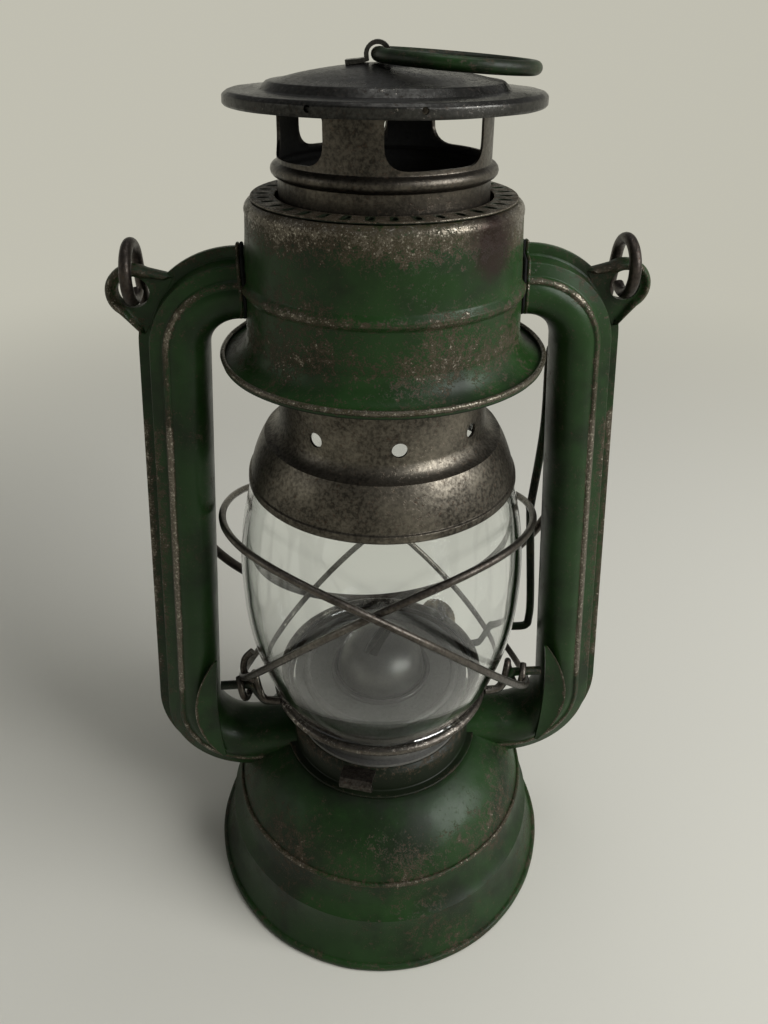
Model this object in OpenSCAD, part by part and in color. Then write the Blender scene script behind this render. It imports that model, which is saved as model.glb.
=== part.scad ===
/* [Sheet and fits] */
// Thickness of the pressed sheet
sheet = 1; // [0.8:0.1:1.2]
// Gap at soldered seats on curved faces
seat_gap = 0.1; // [0.05:0.05:0.2]
// Clearance of pieces that move past each other
run_gap = 0.4; // [0.3:0.05:0.6]

/* [Tank] */
// Radius of the foot ring
foot_r = 62; // [60:0.5:66]
// Width of the flat foot ring
foot_w = 6; // [5:0.5:8]
// Height of the rolled foot ring
foot_h = 2.4; // [2:0.1:3.5]
// Radius of the tank wall at its soft crease
crease_r = 57; // [55:0.5:59]
// Height of the soft crease
crease_z = 18; // [14:0.5:22]
// Radius of the tank at its shoulder
shoulder_r = 53; // [51:0.5:55]
// Height of the shoulder
shoulder_z = 30.5; // [27:0.5:36]
// Radius of the dome at its flat top
dome_r = 36; // [35:0.5:38]
// Height of the dome over the shoulder
dome_h = 18.5; // [16:0.5:22]
// How far the dome bows out of a straight cone
dome_bulge = 2.7; // [1.5:0.1:4]

/* [Filler] */
// Turn of the filler from the front, positive to the right
filler_az = -170; // [-176:1:-164]
// Outer radius of the filler neck
filler_r = 7.5; // [6.5:0.1:8]
// Length of the neck above the dome
filler_len = 7; // [6:0.5:9]

/* [Burner] */
// Outer radius of the burner collar
collar_r = 33; // [32:0.25:34]
// Height of the burner collar
collar_h = 10; // [9:0.5:13]
// Height of the burner drum
burner_h = 14.5; // [13:0.5:18]
// Radius of the air plate inside the globe
plate_r = 32.2; // [31.5:0.1:33]
// Radius of the domed flame cap
cone_r = 18.5; // [16:0.5:20]
// Height of the domed flame cap
cone_h = 14.5; // [12:0.5:17]
// Width of the flat wick
wick_w = 15; // [12:0.5:17]
// Thickness of the flat wick
wick_t = 2.6; // [2:0.1:3]
// Turn of the wick spindle from the front
wick_az = 150; // [145:1:155]
// Radius of the wick spindle
spindle_r = 1.3; // [1:0.1:1.6]
// Radius of the feed wheels
wheel_r = 4; // [3:0.1:4.5]
// Radius of the wick knob
knob_r = 8; // [6.5:0.1:8.5]
// Turn of the thumb tab from the front
tab_az = -20; // [-30:1:30]

/* [Globe] */
// Depth of the globe plate under the top of the burner drum
gallery_drop = 1.5; // [1.1:0.1:3]
// Height of the rim of the globe plate
gallery_h = 3; // [2.6:0.1:3.4]
// Height of the glass globe
globe_h = 100; // [94:1:106]
// Outer radius of the glass at its foot
globe_foot_r = 36; // [35.5:0.25:37]
// Outer radius of the glass at its top edge
globe_top_r = 37; // [36:0.25:38]
// How far the glass bows out of a straight cone
globe_bulge = 11.5; // [10:0.1:12.5]
// Thickness of the glass
glass = 2; // [1.5:0.1:2.5]

/* [Guard and lift] */
// Wire of the guard hoops
guard_wire = 2.4; // [2:0.1:2.6]
// Turn of the crossed hoops from the front
guard_turn = 5.2; // [4.8:0.1:6]
// Wire of the arms and of the lift handle
arm_wire = 3; // [2.6:0.1:3.2]
// Distance of the arms in front of the tube plane
arm_y = 10; // [9:0.25:11]
// Height of the outer ends of the arms over the globe plate
arm_rise = 6.4; // [5:0.2:8]

/* [Air tubes] */
// Width of a tube across its seam flange
tube_w = 21.5; // [20:0.25:23]
// Depth of a tube from front to back
tube_d = 21; // [19:0.25:22]
// Bend radius of the upper elbow
elbow_up_r = 20.5; // [19.5:0.25:22]
// Bend radius of the lower elbow
elbow_low_r = 22.6; // [21:0.2:24]
// How far the tubes lean out from top to bottom
tube_splay = 6.6; // [5:0.2:8]
// Width of the seam flange
flange_w = 1.9; // [1.5:0.1:2.2]
// Thickness of one layer of the seam flange
flange_t = 1.1; // [0.9:0.1:1.3]
// Width of the leaf-shaped guides
guide_w = 10.8; // [9:0.2:12]
// Height of a guide over the middle of the lower elbow
guide_rise = 26; // [22:0.5:30]

/* [Hood] */
// Height of the hood rim over the glass
hood_rise = 29; // [28:0.5:34]
// Radius of the hood wall
hood_r = 41.6; // [40.8:0.1:42.6]
// Radius of the skirt rim
skirt_r = 49.5; // [47.5:0.25:51]
// Height of the hood from the skirt rim to its top
hood_h = 48; // [46:0.5:52]
// Number of slots in the top ring
vent_count = 36; // [24:1:40]

/* [Chimney] */
// Distance from the chimney tube to the hood wall
chimney_gap = 11.1; // [10.6:0.1:12.1]
// Height of the chimney over the hood
chimney_rise = 24.8; // [22:0.2:30]
// Radius of the rain cap
cap_r = 44.6; // [43:0.1:48]
// Height of the rain cap
cap_h = 10.4; // [9:0.2:12]
// Height of the rim band of the rain cap
rim_h = 3.8; // [3:0.2:5]
// Height of the windows under the cap
window_h = 13; // [11:0.5:15]
// Width of a post between two windows
post_w = 16; // [12:0.5:20]
// Turn of the first post from the front
post_az = -20; // [-45:1:45]
// How far the bell reaches down over the glass
bell_lap = 14.6; // [12:0.2:17]
// How far the flue of the bell reaches up into the hood
flue_lap = 10; // [8:0.5:12]
// Number of round holes in the bell
bell_holes = 8; // [6:1:10]
// Radius of the round holes in the bell
bell_hole_r = 2.3; // [1.8:0.1:2.8]
// Height of the round holes over the seat of the bell
bell_hole_rise = 9.5; // [8:0.5:12]
// Wire of the lift ring
ring_wire = 3.9; // [3.4:0.1:4.2]
// Radius of the lift ring to the middle of its wire
ring_r = 21.5; // [18:0.5:24]

/* [Bail] */
// Wire of the bail
bail_wire = 3.6; // [3.2:0.1:4]
// Straight length of a bail leg
bail_leg = 104; // [98:1:112]
// Radius of an eye of the bail to the middle of its wire
eye_r = 8.4; // [7.8:0.1:9]
// Angle at which the bail hangs behind the lantern
bail_hang = 16.5; // [16:0.25:20]
// Radius of the hole in an ear
ear_hole_r = 4.8; // [4.5:0.1:5]

/* [Hidden] */
$fn = 96;

green = [0.13, 0.25, 0.14];
steel = [0.30, 0.28, 0.26];
wire_grey = [0.38, 0.36, 0.33];
brass = [0.62, 0.52, 0.30];

// Heights from the foot up
dome_z = shoulder_z + dome_h;
collar_z = dome_z + collar_h;
burner_z = collar_z + burner_h;
gallery_z = burner_z - gallery_drop;
globe_z = gallery_z + sheet + seat_gap;
globe_top_z = globe_z + globe_h;
bell_seat_z = globe_top_z + run_gap;
hood_z = globe_top_z + hood_rise;
hood_top_z = hood_z + hood_h;
cap_z = hood_top_z + chimney_rise;

// Radii that follow from their neighbours
burner_r = collar_r - 3.5;
chamber_r = burner_r + 1;
gallery_r = globe_foot_r + 2.4;
gallery_in_r = max(plate_r, burner_r) + 2 * run_gap;
chimney_r = hood_r - chimney_gap;
flue_r = chimney_r + sheet + 1.4;
globe_max_r = (globe_foot_r + globe_top_r) / 2 + globe_bulge;
hoop_in_r = globe_max_r + guard_wire / 2 + 1.3;
hoop_out_r = hoop_in_r + guard_wire + 0.2;
tube_top_x = hoop_out_r + guard_wire / 2 + tube_w / 2 - 1.3;

// Elbow centres of the right tube, in the plane of x and z
up_c = [tube_top_x - elbow_up_r, hood_z + 1.4];
low_c = [tube_top_x + tube_splay - elbow_low_r,
  shoulder_z + 2.2 + tube_w / 2 + elbow_low_r];
lean = atan2(low_c[0] - up_c[0], up_c[1] - low_c[1])
  + asin((elbow_low_r - elbow_up_r) / norm(low_c - up_c));
up_stub_z = up_c[1] + elbow_up_r;
low_stub_z = low_c[1] - elbow_low_r;

// Ears and bail
ear_a = 30;
ear_c = up_c + (elbow_up_r + tube_w / 2 + 4.6) * [cos(ear_a), sin(ear_a)];
ear_r = ear_hole_r + 3.4;
bail_z = ear_c[1] + eye_r - (ear_hole_r - bail_wire / 2 - run_gap);

// Heights of the arms under the globe plate and at the guides
arm_seat_z = gallery_z - arm_wire / 2 - seat_gap;
arm_z = gallery_z + arm_rise;

// The wave of a hoop round the globe in millimetres
hoop_tilt_side = 35.8;
hoop_tilt_front = 18.6;
hoop_wave_side = 3.2;
hoop_wave_front = 6.7;

function hoop_wave(a) = -hoop_tilt_side * sin(a) + hoop_tilt_front * cos(a)
  + hoop_wave_side * sin(2 * a) + hoop_wave_front * cos(2 * a);
function arm_turn(r) = acos(arm_y / r);
hoop_mid_z = arm_z - (hoop_wave(arm_turn(hoop_out_r) + guard_turn)
  + hoop_wave(arm_turn(hoop_in_r) - guard_turn)) / 2;

// Points of a bowed stretch from p to q, without p itself; sag points to the right of the way
function bow(p, q, sag, n) = [for (i = [1:n])
  let (t = i / n, d = q - p)
  p + t * d + 4 * t * (1 - t) * sag * [d[1], -d[0]] / norm(d)];
function edge_normal(p, q) = [q[1] - p[1], p[0] - q[0]] / norm(q - p);
// The same path moved to its left by t
function inset(path, t) = [for (i = [0:len(path) - 1])
  let (last = len(path) - 1,
    a = i == 0 ? edge_normal(path[0], path[1]) : edge_normal(path[i - 1], path[i]),
    b = i == last ? a : edge_normal(path[i], path[i + 1]),
    m = (a + b) / norm(a + b))
  path[i] - m * t / (m * a)];
function reversed(list) = [for (i = [len(list) - 1:-1:0]) list[i]];

// A turned shell whose outer face is the path, read from the bottom up
module turned_shell(path, t = sheet) {
  rotate_extrude() polygon(concat(path, reversed(inset(path, t))));
}
// Turns a child that points along x to an angle from the front
module at_az(a) { rotate([0, 0, a - 90]) children(); }
// A tube of wire along rings of points; a closed one joins its last ring to its first
module wire_tube(rings, closed) {
  n = len(rings);
  s = len(rings[0]);
  sides = [for (i = [0:closed ? n - 1 : n - 2], j = [0:s - 1])
    let (a = i * s + j, b = i * s + (j + 1) % s,
      c = ((i + 1) % n) * s + (j + 1) % s, d = ((i + 1) % n) * s + j)
    each [[a, b, c], [a, c, d]]];
  ends = closed ? [] : [for (j = [1:s - 2])
    each [[0, j + 1, j], [(n - 1) * s, (n - 1) * s + j, (n - 1) * s + j + 1]]];
  polyhedron([for (r = rings) each r], concat(sides, ends));
}
// A ring of points round p; the radial direction is e and the way of the wire is w
function wire_ring(p, e, w, r, s) =
  let (u = e / norm(e), v = cross(w, u) / norm(cross(w, u)))
  [for (j = [0:s - 1]) p + r * (cos(360 * j / s) * u + sin(360 * j / s) * v)];
// The way of a bent wire at one of its points
function unit(v) = v / norm(v);
function way_at(points, i) = (i > 0 ? unit(points[i] - points[i - 1]) : [0, 0])
  + (i < len(points) - 1 ? unit(points[i + 1] - points[i]) : [0, 0]);
// A wire of the lift, bent along points of x and z at one depth y
module bent_wire(points, y) {
  wire_tube([for (i = [0:len(points) - 1])
    let (p = points[i], w = way_at(points, i))
    wire_ring([p[0], y, p[1]], [0, 1, 0], [w[0], 0, w[1]], arm_wire / 2, 8)], false);
}

// Air tube section: x points away from the bend, y is the depth
strip_w = 3.7;
rib_w = 3;
rib_step = 1.2;
strip_step = 2.6;
strip_edge = 2.6;
tube_corner = 5;

module tube_outline(grow = 0) {
  flange_x = tube_w / 2 - flange_w;
  rib_x = flange_x - strip_w;
  main_x = rib_x - rib_w;
  half = tube_d / 2 + grow;
  round_x = -tube_w / 2 + tube_corner;
  for (s = [-1, 1])
    translate([round_x, s * (tube_d / 2 - tube_corner)]) circle(tube_corner + grow);
  translate([round_x, -half]) square([main_x + grow - round_x, 2 * half]);
  translate([-tube_w / 2 - grow, tube_corner - tube_d / 2])
    square([tube_corner + grow, tube_d - 2 * tube_corner]);
  translate([main_x - 1, rib_step - half]) square([rib_w + 1 + grow, 2 * (half - rib_step)]);
  polygon([[rib_x - 1, strip_step - half], [flange_x + grow, -strip_edge - grow],
    [flange_x + grow, strip_edge + grow], [rib_x - 1, half - strip_step]]);
}
module tube_flange(grow = 0) {
  translate([tube_w / 2 - flange_w - 1, -flange_t - grow])
    square([flange_w + 1 + grow, 2 * (flange_t + grow)]);
}
// The section of the front or the back half, swollen a little where it sleeves over a bend
module half_wall(front, swell = 0) {
  intersection() {
    difference() {
      union() {
        tube_outline(swell);
        tube_flange(swell);
      }
      tube_outline(-sheet - swell);
    }
    translate([-tube_w, front ? -tube_d : 0]) square([2 * tube_w, tube_d]);
  }
}
module ear_outline() {
  difference() {
    union() {
      translate(ear_c) circle(ear_r);
      polygon([up_c + (elbow_up_r + tube_w / 2 - 0.4) * [cos(ear_a - 23), sin(ear_a - 23)],
        ear_c + ear_r * [cos(ear_a - 58), sin(ear_a - 58)],
        ear_c + ear_r * [cos(ear_a + 58), sin(ear_a + 58)],
        up_c + (elbow_up_r + tube_w / 2 - 0.4) * [cos(ear_a + 21), sin(ear_a + 21)]]);
    }
    translate(up_c) circle(elbow_up_r + tube_w / 2 - flange_w);
    translate(ear_c) circle(ear_hole_r);
  }
}
// Half of the right air tube, from inside the hood to inside the air chamber
sleeve = 0.6;
sleeve_swell = 0.05;
module straight_run(length, front) {
  translate([0, 0, -sleeve]) linear_extrude(length + sleeve) half_wall(front, sleeve_swell);
}
module half_tube(front) {
  low_start = low_c + elbow_low_r * [cos(lean), sin(lean)];
  up_start = up_c + elbow_up_r * [cos(lean), sin(lean)];
  hood_end = hood_r - 3.1;
  chamber_end = chamber_r - 2.5;
  translate([up_c[0], 0, up_stub_z]) rotate([0, -90, 0]) straight_run(up_c[0] - hood_end, front);
  translate([up_c[0], 0, up_c[1]]) rotate([-90, 0, 0]) rotate([0, 0, -90])
    rotate_extrude(angle = 90 - lean) translate([elbow_up_r, 0]) half_wall(front);
  translate([low_start[0], 0, low_start[1]]) rotate([0, -lean, 0])
    straight_run(norm(up_start - low_start) + sleeve, front);
  translate([low_c[0], 0, low_c[1]]) rotate([-90, 0, 0]) rotate([0, 0, -lean])
    rotate_extrude(angle = 90 + lean) translate([elbow_low_r, 0]) half_wall(front);
  translate([chamber_end + sleeve, 0, low_stub_z]) rotate([0, 90, 0])
    straight_run(low_c[0] - chamber_end, front);
  translate([0, front ? 0 : flange_t, 0]) rotate([90, 0, 0]) linear_extrude(flange_t) ear_outline();
}
// Room for the stubs of both tubes in the wall they pass through
module stub_ports(z, up, from, to, grow) {
  for (s = [0, 1]) mirror([s, 0, 0])
    translate([up ? to : from, 0, z]) rotate([0, up ? -90 : 90, 0]) linear_extrude(to - from) {
      tube_outline(grow);
      tube_flange(grow);
    }
}

module tank_skirt() {
  foot_round = foot_h / 3;
  start = [foot_r - 1, foot_h * 0.8];
  path = concat([start], bow(start, [crease_r, crease_z], -1.2, 6),
    bow([crease_r, crease_z], [shoulder_r + 0.8, crease_z + 5], -0.3, 3), [[shoulder_r, shoulder_z]]);
  color(green) union() {
    turned_shell(path);
    rotate_extrude() polygon([[foot_r - foot_w, 0], [foot_r - foot_round, 0], [foot_r, foot_round],
      [foot_r, foot_h - foot_round], [foot_r - foot_round, foot_h], [foot_r - foot_w, foot_h]]);
  }
}
module tank_bottom() {
  color(green) translate([0, 0, foot_h]) cylinder(r = foot_r - 4.4, h = sheet);
}

// Places children at the filler: z leaves the dome squarely
module at_filler() {
  mid = [(shoulder_r + dome_r) / 2, (shoulder_z + dome_z) / 2];
  tilt = atan2(dome_h, shoulder_r - dome_r);
  base = mid + dome_bulge * [sin(tilt), cos(tilt)];
  at_az(filler_az) translate([base[0], 0, base[1]]) rotate([0, tilt, 0]) children();
}
module tank_dome() {
  start = [shoulder_r, shoulder_z];
  edge = [shoulder_r, shoulder_z + sheet / 2];
  path = concat([start, edge], bow(edge, [dome_r, dome_z], dome_bulge, 10), [[chamber_r + 0.7, dome_z]]);
  color(green) difference() {
    turned_shell(path);
    stub_ports(low_stub_z, false, chamber_r - 5, low_c[0] + 14, seat_gap);
    at_filler() cylinder(r = filler_r + seat_gap, h = 4 * sheet + 8, center = true);
  }
}
neck_wall = 1.2;
gasket_h = 1;
cap_wall = 1.6;
module filler_neck() {
  color(brass) at_filler() difference() {
    translate([0, 0, -4]) cylinder(r = filler_r, h = filler_len + 4);
    translate([0, 0, -5]) cylinder(r = filler_r - neck_wall, h = filler_len + 6);
  }
}
module filler_gasket() {
  color("black") at_filler() translate([0, 0, filler_len]) difference() {
    cylinder(r = filler_r, h = gasket_h);
    translate([0, 0, -1]) cylinder(r = filler_r - neck_wall, h = gasket_h + 2);
  }
}
module filler_cap() {
  skirt_z = 2.6;
  under_z = filler_len + gasket_h + 0.05;
  inner_r = filler_r + run_gap;
  outer_r = inner_r + cap_wall;
  grips = 24;
  color(green) at_filler() difference() {
    translate([0, 0, skirt_z]) cylinder(r = outer_r, h = under_z - skirt_z + cap_wall);
    translate([0, 0, skirt_z - 1]) cylinder(r = inner_r, h = under_z - skirt_z + 1);
    for (i = [0:grips - 1]) rotate([0, 0, i * 360 / grips])
      translate([outer_r + 0.3, 0, skirt_z - 1]) cylinder(r = 0.7, h = under_z - skirt_z);
  }
}

module burner_collar() {
  bevel = 1.5;
  lip = 4;
  inner = sheet * 0.4;
  color(green) difference() {
    rotate_extrude() polygon([[collar_r - sheet, dome_z], [dome_r - 0.4, dome_z],
      [dome_r - 0.4, dome_z + sheet], [collar_r, dome_z + sheet], [collar_r, collar_z - bevel],
      [collar_r - bevel, collar_z], [collar_r - lip, collar_z], [collar_r - lip, collar_z - sheet],
      [collar_r - bevel - inner, collar_z - sheet], [collar_r - sheet, collar_z - bevel - inner]]);
    stub_ports(low_stub_z, false, chamber_r - 5, low_c[0], seat_gap);
  }
}
// Places children at the wick: x runs along the spindle, y away from the feed wheels
module at_wick() { at_az(wick_az) children(); }
tube_gap = 0.4;
tube_wall_t = 0.8;
module wick_slot(extra) {
  square([wick_w + 2 * (tube_gap + extra), wick_t + 2 * (tube_gap + extra)], center = true);
}
chamber_floor_z = shoulder_z + 0.5;
module air_chamber() {
  rim_z = dome_z - sheet;
  color(steel) difference() {
    union() {
      translate([0, 0, chamber_floor_z]) cylinder(r = chamber_r, h = rim_z - chamber_floor_z);
      translate([0, 0, rim_z - sheet]) cylinder(r = chamber_r + 2, h = sheet);
    }
    translate([0, 0, chamber_floor_z + sheet]) cylinder(r = chamber_r - sheet, h = dome_h);
    stub_ports(low_stub_z, false, chamber_r - 8, low_c[0], seat_gap);
    at_wick() translate([0, 0, chamber_floor_z - 1]) linear_extrude(3 * sheet)
      wick_slot(tube_wall_t + seat_gap);
  }
}
spindle_z = collar_z + 6.6;
spindle_off = wick_t / 2 + 0.3 + wheel_r;
spindle_bore = 0.05;
module burner_body() {
  air_holes = 8;
  color(steel) difference() {
    union() {
      translate([0, 0, collar_z]) cylinder(r = collar_r - 1.7, h = sheet);
      translate([0, 0, collar_z]) cylinder(r = burner_r, h = burner_h);
    }
    translate([0, 0, collar_z + sheet]) cylinder(r = burner_r - sheet, h = burner_h);
    at_wick() {
      translate([0, 0, collar_z - 1]) linear_extrude(3 * sheet) wick_slot(tube_wall_t + seat_gap);
      translate([-collar_r, -spindle_off, spindle_z]) rotate([0, 90, 0])
        cylinder(r = spindle_r + spindle_bore, h = 2 * collar_r);
      for (i = [0:air_holes - 1]) rotate([0, 0, (i + 0.5) * 360 / air_holes])
        translate([burner_r * 0.72, 0, collar_z - 1]) cylinder(r = 3, h = 3 * sheet);
    }
  }
}
module burner_tab() {
  tab_w = 9;
  tab_h = 7;
  out = collar_r + seat_gap;
  color(green) at_az(tab_az) translate([out, -tab_w / 2, collar_z - tab_h - 1.6]) union() {
    difference() {
      cube([3, tab_w, tab_h]);
      translate([sheet, sheet, sheet]) cube([3, tab_w - 2 * sheet, tab_h]);
    }
    cube([sheet, tab_w, tab_h]);
    translate([0, 0, -0.2]) cube([4.6, tab_w, sheet]);
  }
}
module burner_plate() {
  bead_r = plate_r - 4.6;
  bead = 1.6;
  color(steel) difference() {
    rotate_extrude() {
      translate([0, burner_z]) square([plate_r, sheet]);
      translate([bead_r, burner_z + sheet]) circle(bead);
    }
    translate([0, 0, burner_z - 10]) cylinder(r = cone_r - 2.5, h = 20);
    translate([0, 0, burner_z - 10]) cylinder(r = plate_r, h = 10);
  }
}
module burner_cone() {
  base_z = burner_z + sheet;
  start = [cone_r, base_z];
  shoulder = [cone_r - 0.6, base_z + 2 * sheet];
  top = [3, base_z + cone_h];
  slot = wick_w + 2.4;
  color(steel) difference() {
    turned_shell(concat([start, [cone_r, base_z + sheet], shoulder],
      bow(shoulder, top, cone_h * 0.3, 8), [[0, top[1]]]));
    at_wick() translate([-slot / 2, -wick_t / 2 - 1.2, base_z + cone_h - 8])
      cube([slot, wick_t + 2.4, 10]);
  }
}
wick_tube_top = burner_z + cone_h - 4;
module wick_tube() {
  foot_z = chamber_floor_z - 5;
  color(brass) at_wick() difference() {
    translate([0, 0, foot_z]) linear_extrude(wick_tube_top - foot_z) difference() {
      wick_slot(tube_wall_t);
      wick_slot(0);
    }
    translate([-wick_w / 2 + 0.6, -wick_t - 3, spindle_z - wheel_r])
      cube([wick_w - 1.2, wick_t / 2 + 3, 2 * wheel_r]);
  }
}
module wick() {
  low_z = foot_h + 4 * sheet;
  color("linen") at_wick() translate([-wick_w / 2, -wick_t / 2, low_z])
    cube([wick_w, wick_t, wick_tube_top + 1.5 - low_z]);
}
knob_t = 4;
knob_x = burner_r + 13;
module wick_spindle() {
  wheel_t = 1.6;
  wheel_at = wick_w * 0.27;
  color(brass) at_wick() translate([0, -spindle_off, spindle_z]) rotate([0, 90, 0]) union() {
    translate([0, 0, -burner_r - 1.5]) cylinder(r = spindle_r, h = burner_r + 1.5 + knob_x);
    for (s = [-1, 1]) translate([0, 0, s * wheel_at - wheel_t / 2]) cylinder(r = wheel_r, h = wheel_t);
  }
}
module wick_knob() {
  knurls = 28;
  color(brass) at_wick() translate([knob_x, -spindle_off, spindle_z]) rotate([0, 90, 0]) difference() {
    cylinder(r = knob_r, h = knob_t);
    translate([0, 0, 1.2]) cylinder(r = knob_r - 2.2, h = knob_t);
    for (i = [0:knurls - 1]) rotate([0, 0, i * 360 / knurls])
      translate([knob_r + 0.25, 0, -1]) cylinder(r = 0.65, h = knob_t + 2);
  }
}

module gallery() {
  bead = 1;
  color(wire_grey) rotate_extrude() union() {
    translate([gallery_in_r, gallery_z]) square([gallery_r - gallery_in_r, sheet]);
    translate([gallery_r - sheet, gallery_z]) square([sheet, gallery_h - bead]);
    translate([gallery_r - sheet + bead - 0.4, gallery_z + gallery_h - bead]) circle(bead);
  }
}
// The way of a lift wire from under the globe plate up to the height of the guides
function arm_foot(y) = [[sqrt(pow(gallery_r - 2, 2) - y * y), arm_seat_z],
  [gallery_r + 3, arm_seat_z], [gallery_r + 4.2, arm_seat_z + 0.6],
  [hoop_in_r - 4.2, arm_z - 0.6], [hoop_in_r - 3, arm_z]];
// Right arm of the globe plate, its end behind the guide
module gallery_arm() {
  color(green) bent_wire(concat(arm_foot(arm_y), [[guide_in_x + 0.4, arm_z]]), -arm_y);
}
module globe() {
  steps = 20;
  path = [for (i = [0:steps]) let (t = i / steps) [globe_r_at(t), globe_z + t * globe_h]];
  color([0.8, 0.9, 0.88, 0.3]) turned_shell(path, glass);
}
// Radius of the glass at a share of its height; it is fuller below its middle
low_fullness = 2.5;
high_fullness = 2;
function globe_r_at(t) = globe_foot_r + (globe_top_r - globe_foot_r) * t
  + globe_bulge * (1 - pow(abs(2 * t - 1), t < 0.5 ? low_fullness : high_fullness));

// One hoop of the guard; side is 1 where the hoop is low on the right
hoop_steps = 60;
function hoop_point(a, side, r) =
  [side * r * sin(a - side * guard_turn), -r * cos(a - side * guard_turn), hoop_mid_z + hoop_wave(a)];
module guard_hoop(side, r) {
  da = 360 / hoop_steps;
  color(wire_grey) wire_tube([for (i = [0:hoop_steps - 1])
    let (a = i * da * side, p = hoop_point(a, side, r),
      w = hoop_point(a + side, side, r) - hoop_point(a - side, side, r))
    wire_ring(p, [p[0], p[1], 0], w, guard_wire / 2, 8)], true);
}

// The lift handle: a bent wire from under the globe plate up the back of the right tube
module lift_lever() {
  y = tube_d / 2 + arm_wire / 2 + 2;
  side_x = low_c[0] + elbow_low_r - tube_w / 2 - 1.2;
  knee_x = sqrt(pow(hoop_out_r + guard_wire / 2 + arm_wire / 2 + 1.4, 2) - y * y);
  hook_r = 5;
  hook = [up_c[0] + elbow_up_r - 2, hood_z - 12];
  bend = 2.5;
  knee_z = globe_z + globe_h * 0.57;
  points = concat(arm_foot(y), [[side_x - bend, arm_z], [side_x - bend * 0.3, arm_z + bend * 0.3],
    [side_x, arm_z + bend], [side_x, arm_z + 14], [knee_x, knee_z], [knee_x, knee_z + 4],
    [side_x - 0.6, globe_top_z - 8]],
    [for (a = [150:-30:-60]) hook + hook_r * [cos(a), sin(a)]]);
  color(green) bent_wire(points, y);
}

// Leaf-shaped guide in front of the right arm, on a pad of the lower elbow
guide_in_x = hoop_out_r + guard_wire / 2 + 2.6;
guide_t = 1.1;
module guide() {
  tip = [guide_in_x + 0.6, low_c[1] + guide_rise];
  foot = [guide_in_x + 0.2, low_stub_z + 2];
  back_y = max(arm_y + arm_wire / 2 + 0.3, tube_d / 2 + 0.4);
  pad = low_c + (elbow_low_r - 3.4) * [cos(-50), sin(-50)];
  color(green) union() {
    translate([0, -back_y, 0]) rotate([90, 0, 0]) linear_extrude(guide_t)
      polygon(concat([foot], bow(foot, tip, guide_w * 0.85, 14), bow(tip, foot, -guide_w * 0.15, 8)));
    translate([pad[0], -back_y, pad[1]]) rotate([-90, 0, 0]) cylinder(r = 1.8, h = back_y - tube_d / 2);
  }
}

module hood() {
  rib_z = hood_z + 21.5;
  rib = 1.1;
  start = [skirt_r, hood_z];
  root = [hood_r + 0.8, hood_z + 4.8];
  top_r = hood_r - 1.2;
  path = concat([start], bow(start, root, -1.3, 6), [[hood_r, hood_z + 7.5], [hood_r, rib_z - 1.6],
    [hood_r + rib, rib_z], [hood_r + rib, rib_z + 1.2], [hood_r - 0.3, rib_z + 2.8], [top_r, hood_top_z - 5]],
    bow([top_r, hood_top_z - 5], [vent_r + 0.3, vent_z], 0.8, 4), [[ledge_r, vent_z]]);
  port_lip = 1.3;
  color(green) difference() {
    union() {
      turned_shell(path);
      intersection() {
        stub_ports(up_stub_z, true, hood_r - 4, hood_r + 1.4, port_lip);
        difference() {
          translate([0, 0, hood_z]) cylinder(r = hood_r + 1.8, h = hood_h);
          translate([0, 0, hood_z - 1]) cylinder(r = hood_r - sheet - 0.5, h = hood_h + 2);
        }
      }
    }
    stub_ports(up_stub_z, true, hood_r - 8, hood_r + 8, seat_gap);
  }
}
// The perforated ring lies on a ledge of the hood
vent_z = hood_top_z - sheet;
vent_r = hood_r - 3;
ledge_r = vent_r - 1.6;
vent_in_r = chimney_r + run_gap + 0.7;
module hood_vent() {
  slot_w = 2;
  slot_l = 3.8;
  slot_at = ledge_r - slot_l / 2 - 0.1;
  color(green) difference() {
    translate([0, 0, vent_z]) cylinder(r = vent_r, h = sheet);
    translate([0, 0, vent_z - 1]) cylinder(r = vent_in_r, h = sheet + 2);
    for (i = [0:vent_count - 1]) rotate([0, 0, i * 360 / vent_count])
      translate([slot_at, 0, vent_z - 1]) linear_extrude(sheet + 2) {
        for (s = [-1, 1]) translate([s * (slot_l - slot_w) / 2, 0]) circle(d = slot_w);
        square([slot_l - slot_w, slot_w], center = true);
      }
  }
}

bell_top_z = hood_z + flue_lap;
bell_lip_z = bell_seat_z - bell_lap;
module bell() {
  lip = [globe_r_at((bell_lip_z - globe_z) / globe_h) + run_gap + sheet, bell_lip_z];
  ledge = [globe_top_r + 1, bell_seat_z + sheet];
  flue_foot = [flue_r, ledge[1] + 4.5];
  hole_az = 4.5;
  color(steel) difference() {
    turned_shell(concat([lip], bow(lip, ledge, 0.45, 6), bow(ledge, flue_foot, -1, 5),
      [[flue_r, bell_top_z], [chimney_r + seat_gap, bell_top_z]]));
    for (i = [0:bell_holes - 1]) at_az(hole_az + i * 360 / bell_holes)
      translate([flue_r - 4, 0, bell_seat_z + bell_hole_rise]) rotate([0, 90, 0])
        cylinder(r = bell_hole_r, h = 8);
  }
}
seat_h = 1.2;
spring_r = chimney_r + 4;
module spring_seat() {
  color(steel) translate([0, 0, bell_top_z]) difference() {
    cylinder(r = spring_r + 1.8, h = seat_h);
    translate([0, 0, -1]) cylinder(r = chimney_r + seat_gap, h = seat_h + 2);
  }
}
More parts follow.
